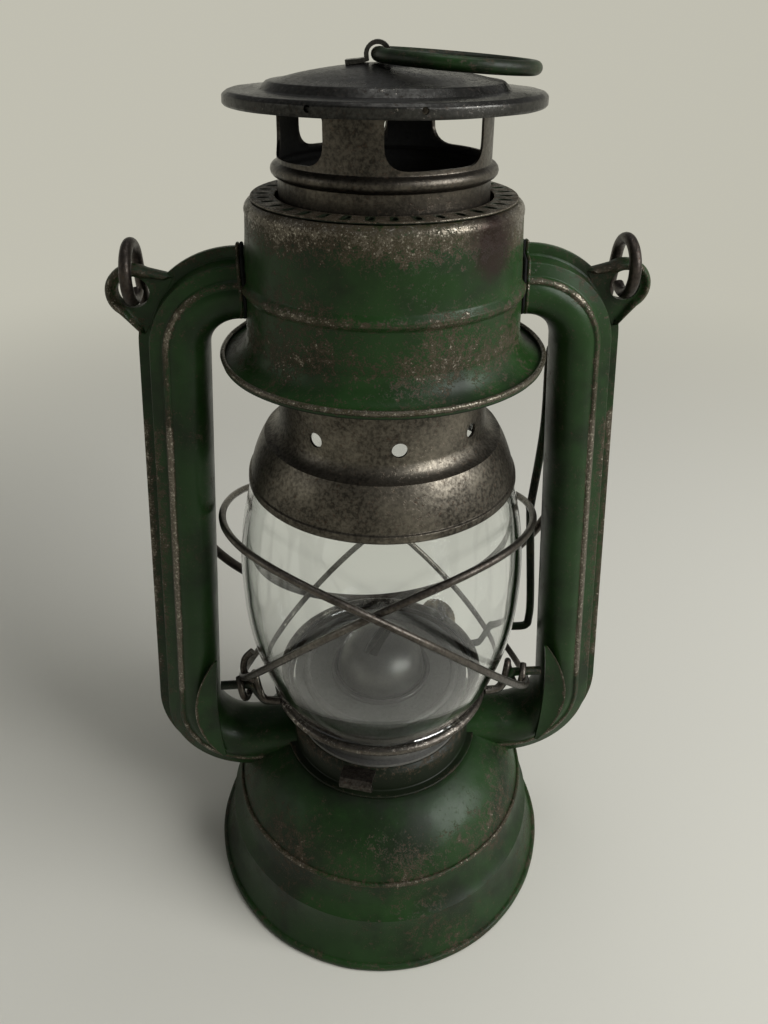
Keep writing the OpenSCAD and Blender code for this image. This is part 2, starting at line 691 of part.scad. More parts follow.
// Return spring between the seat and the top ring of the hood
spring_wire = 1.6;
spring_turns = 4;
spring_low_z = bell_top_z + seat_h + spring_wire / 2 + 0.2;
spring_high_z = vent_z - spring_wire / 2 - 0.2;
spring_rings = 16;
echo("chimney_spring least gap", (spring_high_z - spring_low_z) / spring_turns - spring_wire);
module chimney_spring() {
  n = spring_turns * spring_rings;
  rise = spring_high_z - spring_low_z;
  color(steel) wire_tube([for (i = [0:n])
    let (a = 360 * i / spring_rings, e = [cos(a), sin(a), 0],
      w = [-sin(a) * spring_r * 2 * PI * spring_turns, cos(a) * spring_r * 2 * PI * spring_turns, rise])
    wire_ring(spring_r * e + [0, 0, spring_low_z + rise * i / n], e, w, spring_wire / 2, 6)], false);
}
window_low_z = cap_z - window_h - sheet;
crown_z = cap_z + 0.58 * cap_h;
module chimney_tube() {
  low_z = bell_top_z - 6;
  bead_z = window_low_z - 3.4;
  bead = 2;
  round_r = 5;
  window_w = 2 * chimney_r * sin(45 - asin(post_w / 2 / chimney_r));
  color(steel) difference() {
    rotate_extrude() {
      translate([chimney_r - sheet, low_z]) square([sheet, crown_z - 1.3 * sheet - low_z]);
      intersection() {
        translate([chimney_r, bead_z]) circle(bead);
        translate([chimney_r - sheet, bead_z - 2 * bead]) square([3 * bead, 4 * bead]);
      }
    }
    for (i = [0:3]) at_az(post_az + 45 + 90 * i)
      translate([chimney_r / 2, 0, window_low_z]) rotate([90, 0, 90]) linear_extrude(chimney_r) {
        translate([-window_w / 2, round_r]) square([window_w, window_h - round_r]);
        translate([round_r - window_w / 2, 0]) square([window_w - 2 * round_r, window_h]);
        for (s = [-1, 1]) translate([s * (window_w / 2 - round_r), round_r]) circle(round_r);
      }
  }
}
cap_top_z = cap_z + cap_h;
module cap() {
  rim_holes = 10;
  rim_hole_r = 0.9;
  hole_az = 8;
  brim_z = cap_z + rim_h;
  step_r = chimney_r + 0.29 * (cap_r - chimney_r);
  color(steel) difference() {
    turned_shell([[cap_r, cap_z], [cap_r, brim_z - sheet], [cap_r - sheet, brim_z],
      [step_r, brim_z + 0.3 * sheet], [chimney_r + 1.4, crown_z], [6, cap_top_z], [0, cap_top_z]]);
    for (i = [0:rim_holes - 1]) at_az(hole_az + i * 360 / rim_holes)
      translate([cap_r - 2 * sheet, 0, cap_z + 0.55 * rim_h]) rotate([0, 90, 0])
        cylinder(r = rim_hole_r, h = 4 * sheet);
  }
}
ring_turn = -4.2;
ring_fall = 4.2;
ring_x = -2;
ring_z = cap_top_z + ring_wire / 2 + run_gap;
module at_ring() { rotate([0, 0, ring_turn]) translate([ring_x, 0, ring_z]) children(); }
module cap_lug() {
  lug_w = 6.5;
  lug_wall = 0.8;
  hole_r = ring_wire / 2 + run_gap + lug_w * lug_w / 8 / ring_r;
  lug_r = hole_r + lug_wall;
  cut = 4 * lug_r;
  color(steel) at_ring() rotate([90, 0, 0]) difference() {
    union() {
      cylinder(r = lug_r, h = lug_w, center = true);
      translate([0, -lug_r / 2, 0]) cube([2 * lug_r, lug_r, lug_w], center = true);
    }
    cylinder(r = hole_r, h = lug_w + 2, center = true);
    translate([0, cap_top_z - ring_z - cut / 2, 0]) cube(cut, center = true);
  }
}
module lift_ring() {
  color(green) at_ring() rotate([0, ring_fall, 0]) translate([ring_r, 0, 0])
    rotate_extrude() translate([ring_r, 0]) circle(d = ring_wire);
}

// One wire with an open eye at each end, hanging behind the lantern
module bail() {
  x = ear_c[0];
  eye_end = 285;
  eye_step = 19;
  arc_step = 7.5;
  // Each entry is a point, the way of the wire there and a direction square to it
  eye = [for (a = [0:eye_step:eye_end]) [[x, eye_r * cos(a), eye_r * sin(a)],
    [0, -sin(a), cos(a)], [0, cos(a), sin(a)]]];
  arc = [for (t = [180:arc_step:360]) [[x * cos(t), eye_r, x * sin(t) - bail_leg],
    [-sin(t), 0, cos(t)], [0, 1, 0]]];
  left = [for (e = reversed(eye)) [[-e[0][0], e[0][1], e[0][2]], -e[1], e[2]]];
  color(steel) translate([0, 0, bail_z]) rotate([bail_hang, 0, 0])
    wire_tube([for (e = concat(left, arc, eye)) wire_ring(e[0], e[2], e[1], bail_wire / 2, 8)], false);
}

tank_skirt();
tank_bottom();
tank_dome();
filler_neck();
filler_gasket();
filler_cap();
burner_collar();
air_chamber();
burner_body();
burner_tab();
burner_plate();
burner_cone();
wick_tube();
wick();
wick_spindle();
wick_knob();
gallery();
mirror([1, 0, 0]) gallery_arm();  // gallery_arm_left
gallery_arm();  // gallery_arm_right
globe();
guard_hoop(-1, hoop_in_r);  // guard_hoop_left
guard_hoop(1, hoop_out_r);  // guard_hoop_right
lift_lever();
color(green) mirror([1, 0, 0]) half_tube(true);  // tube_left_front
color(green) mirror([1, 0, 0]) half_tube(false);  // tube_left_back
color(green) half_tube(true);  // tube_right_front
color(green) half_tube(false);  // tube_right_back
mirror([1, 0, 0]) guide();  // guide_left
guide();  // guide_right
hood();
hood_vent();
bell();
spring_seat();
chimney_spring();
chimney_tube();
cap();
cap_lug();
lift_ring();
bail();
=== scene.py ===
import bpy
import bmesh
from math import sin, cos, tan, pi, radians, sqrt, atan2, asin, acos
from mathutils import Vector, Matrix, noise


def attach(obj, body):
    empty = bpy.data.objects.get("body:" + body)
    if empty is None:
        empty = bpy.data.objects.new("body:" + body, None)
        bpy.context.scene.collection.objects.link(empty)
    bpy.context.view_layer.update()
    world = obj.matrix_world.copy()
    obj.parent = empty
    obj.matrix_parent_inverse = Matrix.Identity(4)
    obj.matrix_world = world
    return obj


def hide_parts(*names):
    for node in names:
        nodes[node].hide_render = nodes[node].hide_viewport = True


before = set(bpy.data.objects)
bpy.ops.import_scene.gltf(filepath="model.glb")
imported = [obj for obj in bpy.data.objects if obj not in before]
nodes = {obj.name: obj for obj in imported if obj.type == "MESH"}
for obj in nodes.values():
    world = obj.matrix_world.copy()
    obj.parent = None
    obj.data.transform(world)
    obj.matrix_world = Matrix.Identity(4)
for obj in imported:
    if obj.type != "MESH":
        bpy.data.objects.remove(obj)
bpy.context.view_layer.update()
scene = bpy.context.scene
mm = 0.001
print("frame loaded with", len(nodes), "nodes")

# Node helpers: an input takes a constant or another node's output, which also tells the tree


def put(socket, value):
    if isinstance(value, bpy.types.NodeSocket):
        socket.id_data.links.new(value, socket)
    else:
        socket.default_value = value


def addNode(kind, inputs, tree=None, **settings):
    sockets = [value for value in inputs.values() if isinstance(value, bpy.types.NodeSocket)]
    made = (tree or sockets[0].id_data).nodes.new(kind)
    for key, value in settings.items():
        setattr(made, key, value)
    for key, value in inputs.items():
        put(made.inputs[key], value)
    return made.outputs


def calc(operation, a, b=0.0, clamp=False):
    return addNode("ShaderNodeMath", {0: a, 1: b}, operation=operation, use_clamp=clamp)[0]


def times(a, b):
    return calc("MULTIPLY", a, b)


# A value with shares of others added, held between 0 and 1
def addShares(value, others, shares):
    for other, share in zip(others, shares):
        value = calc("ADD", value, times(other, share), True)
    return value


def step(value, low, high):
    return addNode("ShaderNodeMapRange", {"Value": value, "From Min": low, "From Max": high},
                   interpolation_type="SMOOTHSTEP")[0]


def mixed(factor, a, b):
    return addNode("ShaderNodeMix", {0: factor, 6: a, 7: b}, data_type="RGBA")[2]


def blot(place, scale, detail=3.0, roughness=0.55):
    return addNode("ShaderNodeTexNoise",
                   {"Vector": place, "Scale": scale, "Detail": detail, "Roughness": roughness})["Fac"]


def startGroup(kind, name, inputs, outputs):
    tree = bpy.data.node_groups.new(name, kind)
    for way, sockets in (("INPUT", inputs), ("OUTPUT", outputs)):
        for label, socket in sockets.items():
            tree.interface.new_socket(label, in_out=way, socket_type="NodeSocket" + socket)
    return tree, tree.nodes.new("NodeGroupInput").outputs, tree.nodes.new("NodeGroupOutput").inputs


# Shared effects

chipLook = {"clusterSize": 46.0, "cluster": (0.40, 0.72), "midSize": 480.0,
            "shares": (0.45, 0.55, 0.085, 0.17), "bare": (0.695, 0.740), "edge": (0.595, 0.650),
            "depth": 0.8}


# Freckled wear: fine rust dots in clusters, and bare metal where the wear is high
def makeChips():
    tree, given, out = startGroup(
        "ShaderNodeTree", "chippedPaint",
        {"Place": "Vector", "Wear": "Float", "Amount": "Float", "Fine": "Float"},
        {"Bare": "Float", "Rust": "Float", "Height": "Float"})
    place, level = given["Place"], given["Amount"]
    parts = (blot(place, chipLook["midSize"], 4.0, 0.65), blot(place, given["Fine"], 4.0, 0.7),
             step(blot(place, chipLook["clusterSize"], 3.0, 0.6), *chipLook["cluster"]),
             calc("MAXIMUM", given["Wear"], 0.0))
    for part, share in zip(parts, chipLook["shares"]):
        level = calc("ADD", level, times(part, share))
    bare, edge = step(level, *chipLook["bare"]), step(level, *chipLook["edge"])
    put(out["Bare"], bare)
    put(out["Rust"], times(edge, calc("SUBTRACT", 1.0, bare)))
    put(out["Height"], calc("SUBTRACT", 1.0, times(edge, chipLook["depth"])))
    return tree


# Old grime that darkens a surface in soft patches
def makeGrime():
    tree, given, out = startGroup(
        "ShaderNodeTree", "softGrime", {"Place": "Vector", "Size": "Float", "Low": "Float", "High": "Float"},
        {"Mask": "Float"})
    patch = blot(given["Place"], given["Size"], 5.0, 0.6)
    put(out["Mask"], step(patch, given["Low"], given["High"]))
    return tree


chipsGroup = makeChips()
grimeGroup = makeGrime()


def grimeMask(place, size, low, high):
    return addNode("ShaderNodeGroup", {"Place": place, "Size": size, "Low": low, "High": high},
                   node_tree=grimeGroup)["Mask"]


# Soot, painted shade and chips; inner faces carry a wear below zero, which turns them to soot; the same
# black, from a wear below zero, is painted shade in the tube joints and the flame cap's trough and darkens
# the top of the tank dome
def wornMasks(place, amount, fine):
    wear = addNode("ShaderNodeAttribute", {}, place.id_data, attribute_name="wear")["Fac"]
    chips = addNode("ShaderNodeGroup", {"Place": place, "Wear": wear, "Amount": amount, "Fine": fine},
                    node_tree=chipsGroup)
    return calc("MULTIPLY", wear, -1.0, True), chips


# A ragged spot; its noise and edges are shares of its size
spotLook = {"grainSize": 130.0, "ragged": 1.1, "outer": 1.6, "inner": 0.9}


def spotMask(place, centre, size):
    away = addNode("ShaderNodeVectorMath", {0: place, 1: centre}, operation="DISTANCE")["Value"]
    ragged = times(blot(place, spotLook["grainSize"], 5.0, 0.65), size * spotLook["ragged"])
    return step(calc("ADD", away, ragged), size * spotLook["outer"], size * spotLook["inner"])


def startMaterial(name):
    made = bpy.data.materials.new(name)
    made.use_nodes = True
    return made, addNode("ShaderNodeTexCoord", {}, made.node_tree)["Object"]


# Sets the shader's inputs, and its bump from a height, a strength and a distance
def shade(material, inputs, *bump):
    shader = material.node_tree.nodes["Principled BSDF"]
    for key, value in inputs.items():
        put(shader.inputs[key], value)
    if bump:
        normal = addNode("ShaderNodeBump", dict(zip(("Height", "Strength", "Distance"), bump)))["Normal"]
        put(shader.inputs["Normal"], normal)
    return shader.outputs[0]


# Materials

# Amount of chips, range and depth of the grime; the last, darkest paint is a shaded copy of the green paint,
# painted shade for the collar under the globe plate and the vent ring inside the hood, its heavy grime
# standing in for that shade too
paintValues = {"tankPaint": (-0.006, (0.40, 0.66), 0.80), "hoodPaint": (-0.004, (0.42, 0.68), 0.70),
               "tubePaint": (-0.022, (0.42, 0.68), 0.75), "wirePaint": (-0.010, (0.32, 0.56), 0.92),
               "shadedPaint": (-0.055, (0.20, 0.46), 0.95)}
stains = {"hoodPaint": ((0.0270, -0.0309, 0.2425), 0.0125)}
# The black soot tone is real soot inside the chimney pieces and the hood, the char of the wick, and painted
# shade in the tube joints and the flame cap's trough
paintTones = {"green": ((0.0075, 0.0240, 0.0045, 1), (0.0180, 0.0520, 0.0130, 1)),
              "grime": (0.0058, 0.0085, 0.0040, 1), "stain": (0.014, 0.0055, 0.0045, 1),
              "sootAndShade": (0.004, 0.004, 0.0035, 1),
              "rust": ((0.024, 0.017, 0.010, 1), (0.080, 0.057, 0.036, 1)),
              "bare": ((0.060, 0.050, 0.037, 1), (0.170, 0.150, 0.118, 1)),
              "speck": (0.36, 0.335, 0.275, 1)}
paintLook = {"fine": 1900.0, "grimeSize": 38.0, "greenSize": 70.0, "rustSize": 620.0, "bareSize": 760.0,
             "speckSize": 1500.0, "specks": (0.54, 0.66), "rustCover": 0.85, "stainCover": 0.9,
             "metal": 0.75, "shine": 0.20, "roughSize": 160.0, "rough": (0.24, 0.20),
             "roughShares": (0.10, 0.25, 0.5), "dentSize": 110.0, "dent": 0.9, "bump": (0.30, 0.0004)}


def makePaint(name):
    amount, grimed, deep = paintValues[name]
    tones, look = paintTones, paintLook
    made, place = startMaterial(name)
    sootAndShade, chips = wornMasks(place, amount, look["fine"])
    grime = grimeMask(place, look["grimeSize"], *grimed)
    green = mixed(blot(place, look["greenSize"], 4.0), *tones["green"])
    green = mixed(times(grime, deep), green, tones["grime"])
    rust = mixed(blot(place, look["rustSize"]), *tones["rust"])
    bare = mixed(blot(place, look["bareSize"]), *tones["bare"])
    specks = step(blot(place, look["speckSize"], 3.0, 0.6), *look["specks"])
    colour = mixed(times(chips["Rust"], look["rustCover"]), green, rust)
    colour = mixed(chips["Bare"], colour, mixed(specks, bare, tones["speck"]))
    if name in stains:
        stain = spotMask(place, *stains[name])
        colour = mixed(times(stain, look["stainCover"]), colour, tones["stain"])
    vary, base = look["rough"]
    rough = calc("ADD", times(blot(place, look["roughSize"], 5.0), vary), base)
    height = calc("ADD", chips["Height"], times(blot(place, look["dentSize"], 4.0), look["dent"]))
    shade(made, {"Base Color": mixed(sootAndShade, colour, tones["sootAndShade"]), "Specular IOR Level": look["shine"],
                 "Metallic": times(chips["Bare"], look["metal"]),
                 "Roughness": addShares(rough, (grime, chips["Rust"], sootAndShade), look["roughShares"])},
          height, *look["bump"])
    return made


# Pale and dark tone, rust, roughness, metal and amount of chips; the second steel is the chimney steel made
# darker, painted shade from the cap over the chimney tube
steelValues = {
    "chimneySteel": ((0.190, 0.170, 0.136, 1), (0.020, 0.0175, 0.0135, 1), 0.40, 0.29, 0.88, -0.035),
    "shadedStackSteel": ((0.120, 0.106, 0.086, 1), (0.012, 0.0105, 0.0085, 1), 0.40, 0.26, 0.88, -0.030),
    "capSteel": ((0.068, 0.067, 0.062, 1), (0.013, 0.0125, 0.0110, 1), 0.20, 0.19, 0.85, -0.030),
    "burnerSteel": ((0.190, 0.190, 0.178, 1), (0.110, 0.108, 0.100, 1), 0.06, 0.40, 0.45, -0.060),
    "flameSteel": ((0.105, 0.105, 0.099, 1), (0.058, 0.057, 0.053, 1), 0.05, 0.26, 0.6, -0.070),
    "guardWire": ((0.150, 0.137, 0.118, 1), (0.026, 0.021, 0.017, 1), 0.40, 0.22, 0.88, -0.015),
    "bailWire": ((0.085, 0.072, 0.060, 1), (0.018, 0.014, 0.012, 1), 0.45, 0.28, 0.8, -0.040)}
steelLook = {"fine": 2100.0, "grime": (34.0, 0.30, 0.62), "mottleSize": 900.0, "mottle": (0.36, 0.66),
             "grimeShare": 0.62, "mottleShare": 0.38, "speckSize": 950.0, "specks": (0.55, 0.68),
             "rust": (0.075, 0.042, 0.025, 1), "bare": (0.40, 0.37, 0.32, 1), "toneRough": 0.20,
             "roughShares": (0.18, 0.5), "pit": -0.5, "grainSize": 300.0, "bump": (0.28, 0.0003)}


def makeSteel(name):
    pale, dark, rust, rough, metal, amount = steelValues[name]
    look = steelLook
    made, place = startMaterial(name)
    sootAndShade, chips = wornMasks(place, amount, look["fine"])
    grime = grimeMask(place, *look["grime"])
    mottle = step(blot(place, look["mottleSize"], 5.0, 0.66), *look["mottle"])
    tone = addShares(times(grime, look["grimeShare"]), [mottle], [look["mottleShare"]])
    specks = step(blot(place, look["speckSize"], 4.0, 0.7), *look["specks"])
    colour = mixed(tone, pale, dark)
    colour = mixed(times(specks, rust), colour, look["rust"])
    colour = mixed(chips["Bare"], colour, look["bare"])
    rough = calc("ADD", times(tone, look["toneRough"]), rough)
    height = calc("ADD", times(specks, look["pit"]), blot(place, look["grainSize"], 5.0))
    shade(made, {"Base Color": mixed(sootAndShade, colour, paintTones["sootAndShade"]),
                 "Metallic": times(calc("SUBTRACT", 1.0, sootAndShade), metal),
                 "Roughness": addShares(rough, (specks, sootAndShade), look["roughShares"])}, height, *look["bump"])
    return made


brass = {"grime": (160.0, 0.38, 0.66), "tones": ((0.16, 0.118, 0.058, 1), (0.045, 0.034, 0.020, 1)),
         "metal": 0.9, "rough": (0.3, 0.28), "grainSize": 700.0, "bump": (0.2, 0.0002)}


def makeBrass():
    made, place = startMaterial("dullBrass")
    grime = grimeMask(place, *brass["grime"])
    vary, base = brass["rough"]
    shade(made, {"Base Color": mixed(grime, *brass["tones"]), "Metallic": brass["metal"],
                 "Roughness": calc("ADD", times(grime, vary), base)},
          blot(place, brass["grainSize"]), *brass["bump"])
    return made


# The wick is charred between the two heights
cotton = {"weave": 260.0, "twist": 1.5, "tones": ((0.30, 0.26, 0.20, 1), (0.62, 0.56, 0.46, 1)),
          "char": (0.070, 0.078), "rough": 0.95, "bump": (0.5, 0.0004)}


def makeCotton():
    made, place = startMaterial("cottonWick")
    weave = addNode("ShaderNodeTexWave", {"Vector": place, "Scale": cotton["weave"],
                                          "Distortion": cotton["twist"]},
                    bands_direction="Z")["Fac"]
    char = step(addNode("ShaderNodeSeparateXYZ", {0: place})["Z"], *cotton["char"])
    cloth = mixed(weave, *cotton["tones"])
    shade(made, {"Base Color": mixed(char, cloth, paintTones["sootAndShade"]), "Roughness": cotton["rough"]},
          weave, *cotton["bump"])
    return made


cork = {"grainSize": 800.0, "tones": ((0.05, 0.035, 0.022, 1), (0.13, 0.09, 0.055, 1)), "rough": 0.9,
        "bump": (0.5, 0.0003)}


def makeGasket():
    made, place = startMaterial("corkGasket")
    grain = blot(place, cork["grainSize"], 4.0)
    shade(made, {"Base Color": mixed(grain, *cork["tones"]), "Roughness": cork["rough"]},
          grain, *cork["bump"])
    return made


glass = {"haze": (55.0, 0.50, 0.78), "hazeRough": 0.05, "tone": (0.97, 0.985, 0.97, 1), "ior": 1.46}


def makeGlass():
    made, place = startMaterial("globeGlass")
    haze = grimeMask(place, *glass["haze"])
    shade(made, {"Base Color": glass["tone"], "Roughness": times(haze, glass["hazeRough"]),
                 "Transmission Weight": 1.0, "IOR": glass["ior"]})
    return made


tankPaint, hoodPaint, tubePaint, wirePaint, shadedPaint = [makePaint(name) for name in paintValues]
chimneySteel, shadedStackSteel, capSteel, burnerSteel, flameSteel, guardSteel, bailSteel = [
    makeSteel(name) for name in steelValues]
dullBrass = makeBrass()
cottonWick = makeCotton()
corkGasket = makeGasket()
globeGlass = makeGlass()
print("materials made")

# Mesh helpers; lengths are millimetres until a mesh is made


def addObject(name, data):
    made = bpy.data.objects.new(name, data)
    scene.collection.objects.link(made)
    return made


def discard(*spares):
    for spare in spares:
        data = spare.data
        bpy.data.objects.remove(spare)
        (bpy.data.meshes if isinstance(data, bpy.types.Mesh) else bpy.data.curves).remove(data)


def arc(centre, r, turns):
    return [(centre[0] + r * cos(radians(a)), centre[1] + r * sin(radians(a))) for a in turns]


# The points of a profile are x, y, corner radius and wear; a corner takes up to this share of a side
cornerShare = 0.48


def roundCorners(points, steps=4, closed=False):
    out = []
    last = len(points) - 1
    for i, point in enumerate(points):
        x, y, radius, wear = (tuple(point) + (0, 0))[:4]
        if radius <= 0 or (not closed and i in (0, last)):
            out.append((x, y, wear))
            continue
        before, here = Vector(points[i - 1][:2]), Vector((x, y))
        after = Vector(points[(i + 1) % len(points)][:2])
        u, v = (before - here), (after - here)
        half = u.angle(v) / 2
        cut = min(radius / tan(half), cornerShare * u.length, cornerShare * v.length)
        a, b = here + u.normalized() * cut, here + v.normalized() * cut
        for k in range(steps + 1):
            t = k / steps
            q = a * (1 - t) ** 2 + here * 2 * t * (1 - t) + b * t * t
            out.append((q.x, q.y, wear))
    return out


# Profile points after p on a bowed line to q
def bowed(p, q, sag, count, wear=0.0):
    dx, dy = q[0] - p[0], q[1] - p[1]
    size = sqrt(dx * dx + dy * dy)
    out = []
    for i in range(1, count + 1):
        t = i / count
        lift = 4 * t * (1 - t) * sag / size
        out.append((p[0] + t * dx + lift * dy, p[1] + t * dy - lift * dx, 0, wear))
    return out


# A sheet of thickness t to the left of a path, as one closed outline; sooty sheets are black inside
def sheetOutline(path, t, sooty=False):
    inner = []
    last = len(path) - 1
    for i, point in enumerate(path):
        here = Vector(point[:2])
        before = (here - Vector(path[i - 1][:2])).normalized() if i else None
        after = (Vector(path[i + 1][:2]) - here).normalized() if i < last else None
        a, b = before or after, after or before
        na, nb = Vector((a.y, -a.x)), Vector((b.y, -b.x))
        m = (na + nb).normalized()
        reach = t / max(m.dot(na), 0.5)
        inner.append((max(here.x - m.x * reach, 0.0), here.y - m.y * reach, -1.0 if sooty else 0.0))
    return list(path) + inner[::-1]


def beadOutline(r, z, size, wear=0.0, sides=14):
    return [(x, y, wear) for x, y in arc((r, z), size, [360 * k / sides for k in range(sides)])]


def shadeSmooth(mesh, sharp):
    mesh.shade_smooth()
    mesh.set_sharp_from_angle(angle=radians(sharp))


def meshPiece(name, points, faces, wear, sharp=38):
    mesh = bpy.data.meshes.new(name)
    mesh.from_pydata([(x * mm, y * mm, z * mm) for x, y, z in points], [], faces)
    mesh.attributes.new("wear", "FLOAT", "POINT").data.foreach_set("value", wear)
    work = bmesh.new()
    work.from_mesh(mesh)
    bmesh.ops.remove_doubles(work, verts=work.verts, dist=1e-6)
    bmesh.ops.recalc_face_normals(work, faces=work.faces)
    work.to_mesh(mesh)
    work.free()
    shadeSmooth(mesh, sharp)
    return addObject(name, mesh)


# Faces between rings of as many points each; a loop joins the last ring to the first
def ringFaces(rings, count, loop=False, base=0):
    faces = []
    for i in range(rings if loop else rings - 1):
        up = (i + 1) % rings * count - i * count
        for k in range(count):
            a, b = base + i * count + k, base + i * count + (k + 1) % count
            faces.append((a, b, b + up, a + up))
    return faces


# Hand dents: a coarse and a fine noise, calm near the axis; lapFade is how far a lapped seam runs out
dents = {"size": 0.055, "fine": 0.16, "shift": Vector((9, 4, 2)), "fineShare": 0.4, "calmR": 8, "drop": 0.4,
         "lapFade": radians(40)}


# Turned pieces; dent is how far dents move the sheet, lap is the turn and height of a lapped seam
def turned(name, outlines, steps=160, dent=0.0, sharp=38, lap=None):
    points, faces, wear = [], [], []
    for outline in outlines:
        faces += ringFaces(steps, len(outline), True, len(points))
        for i in range(steps):
            a = 2 * pi * i / steps
            seam = 0.0
            if lap:
                past = (a - radians(lap[0] - 90)) % (2 * pi)
                seam = lap[1] * max(0.0, 1 - past / dents["lapFade"])
            for r, z, w in outline:
                spot = Vector((cos(a) * r, sin(a) * r, z))
                grow = dent * noise.noise(spot * dents["size"])
                grow += dents["fineShare"] * dent * noise.noise(spot * dents["fine"] + dents["shift"])
                grow = grow * min(r / dents["calmR"], 1) + seam
                points.append((cos(a) * (r + grow), sin(a) * (r + grow), z + (grow - seam) * dents["drop"]))
                wear.append(w)
    return meshPiece(name, points, faces, wear, sharp)


# A closed section swept along a path; each ring is a list of points with their wear
def swept(name, rings, loop=False):
    count = len(rings[0])
    faces = ringFaces(len(rings), count, loop)
    if not loop:
        faces += [tuple(range(first, first + count)) for first in (0, (len(rings) - 1) * count)]
    flat = [point for ring in rings for point in ring]
    return meshPiece(name, [point[:3] for point in flat], faces, [point[3] for point in flat])


def settle(piece, body, material, slot, *replaced):
    piece.data.materials.clear()
    piece.data.materials.append(material)
    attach(piece, body)
    if replaced:
        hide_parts(*replaced)


def joinInto(piece, *others):
    work = bmesh.new()
    for part in (piece,) + others:
        work.from_mesh(part.data)
    work.to_mesh(piece.data)
    work.free()
    discard(*others)
    shadeSmooth(piece.data, 38)


# A strip of sheet bent along a way of (reach, height) points, standing at a turn from +X
def strip(name, way, wide, sheet, turn, wear):
    turn = radians(turn)
    rings = []
    for i, (s, h) in enumerate(way):
        before, after = way[max(i - 1, 0)], way[min(i + 1, len(way) - 1)]
        along = Vector((after[0] - before[0], after[1] - before[1])).normalized()
        off = Vector((-along.y, along.x)) * sheet / 2
        ring = []
        for across, up in ((-1, -1), (1, -1), (1, 1), (-1, 1)):
            x, y = s + off.x * up, across * wide / 2
            ring.append((x * cos(turn) - y * sin(turn), x * sin(turn) + y * cos(turn), h + off.y * up, wear))
        rings.append(ring)
    return swept(name, rings)


# The mesh that a piece's modifiers give
def modifiedMesh(piece, sharp=40):
    bpy.context.view_layer.update()
    ready = piece.evaluated_get(bpy.context.evaluated_depsgraph_get())
    mesh = bpy.data.meshes.new_from_object(ready)
    piece.modifiers.clear()
    shadeSmooth(mesh, sharp)
    return mesh


def cutWith(piece, cutter):
    modifier = piece.modifiers.new("cut", "BOOLEAN")
    modifier.operation = "DIFFERENCE"
    modifier.solver = "EXACT"
    modifier.object = cutter
    old, piece.data = piece.data, modifiedMesh(piece)
    bpy.data.meshes.remove(old)
    discard(cutter)
    return piece


# Geometry Nodes


def startTree(name, inputs):
    return startGroup("GeometryNodeTree", name, {"Geometry": "Geometry", **inputs}, {"Geometry": "Geometry"})


def endTree(geometry, material, out):
    real = addNode("GeometryNodeRealizeInstances", {"Geometry": geometry})[0]
    put(out["Geometry"], addNode("GeometryNodeSetMaterial", {"Geometry": real, "Material": material})[0])


# Runs a tree on an object and leaves a plain mesh piece of that name
def bakeTree(name, source, tree, values):
    modifier = source.modifiers.new(tree.name, "NODES")
    modifier.node_group = tree
    for item in tree.interface.items_tree:
        if item.in_out == "INPUT" and item.name in values:
            modifier[item.identifier] = values[item.name]
    mesh = modifiedMesh(source)
    discard(source)
    mesh.name = name
    return addObject(name, mesh)


# A round wire along a path
def makeWireTree():
    tree, given, out = startTree("wireAlongPath", {
        "Wire radius": "Float", "Wire sides": "Int", "Wear": "Float", "Finish": "Material"})
    circle = addNode("GeometryNodeCurvePrimitiveCircle",
                     {"Resolution": given["Wire sides"], "Radius": given["Wire radius"]})["Curve"]
    wire = addNode("GeometryNodeCurveToMesh",
                   {"Curve": given["Geometry"], "Profile Curve": circle, "Fill Caps": True})[0]
    store = addNode("GeometryNodeStoreNamedAttribute",
                    {"Geometry": wire, "Name": "wear", "Value": given["Wear"]}, data_type="FLOAT")[0]
    endTree(store, given["Finish"], out)
    return tree


# Holes punched through a sheet on a circle
def makePunchTree():
    tree, given, out = startTree("punchedHoles", {
        "Count": "Int", "Ring radius": "Float", "Height": "Float", "First turn": "Float", "Tip": "Float",
        "Length": "Float", "Width": "Float", "Depth": "Float", "Finish": "Material"})

    def combined(axes):
        return addNode("ShaderNodeCombineXYZ", axes)[0]
    ring = addNode("GeometryNodeMeshCircle", {"Vertices": given["Count"], "Radius": given["Ring radius"]})[0]
    cutter = addNode("GeometryNodeMeshCylinder", {"Vertices": 24, "Radius": 1.0, "Depth": 1.0}, tree)["Mesh"]
    index = addNode("GeometryNodeInputIndex", {}, tree)[0]
    turn = calc("DIVIDE", times(index, 2 * pi), given["Count"])
    size = {"X": times(given["Length"], 0.5), "Y": times(given["Width"], 0.5), "Z": given["Depth"]}
    row = addNode("GeometryNodeInstanceOnPoints", {
        "Points": ring, "Instance": cutter, "Rotation": combined({"Y": given["Tip"], "Z": turn}),
        "Scale": combined(size)})[0]
    moved = addNode("GeometryNodeTransform", {
        "Geometry": row, "Translation": combined({"Z": given["Height"]}),
        "Rotation": combined({"Z": given["First turn"]})})[0]
    whole = addNode("GeometryNodeRealizeInstances", {"Geometry": moved})[0]
    cut = addNode("GeometryNodeMeshBoolean", {"Mesh 1": given["Geometry"], "Mesh 2": whole},
                  operation="DIFFERENCE")["Mesh"]
    endTree(cut, given["Finish"], out)
    return tree


wireTree = makeWireTree()
punchTree = makePunchTree()


def wirePiece(name, path, radius, material, closed=False, wear=0.0, sides=14):
    curve = bpy.data.curves.new(name + "Path", "CURVE")
    curve.dimensions = "3D"
    curve.twist_mode = "MINIMUM"
    line = curve.splines.new("POLY")
    line.points.add(len(path) - 1)
    for point, (x, y, z) in zip(line.points, path):
        point.co = (x * mm, y * mm, z * mm, 1)
    line.use_cyclic_u = closed
    return bakeTree(name, addObject(name + "Path", curve), wireTree, {
        "Wire radius": radius * mm, "Wire sides": sides, "Wear": wear, "Finish": material})


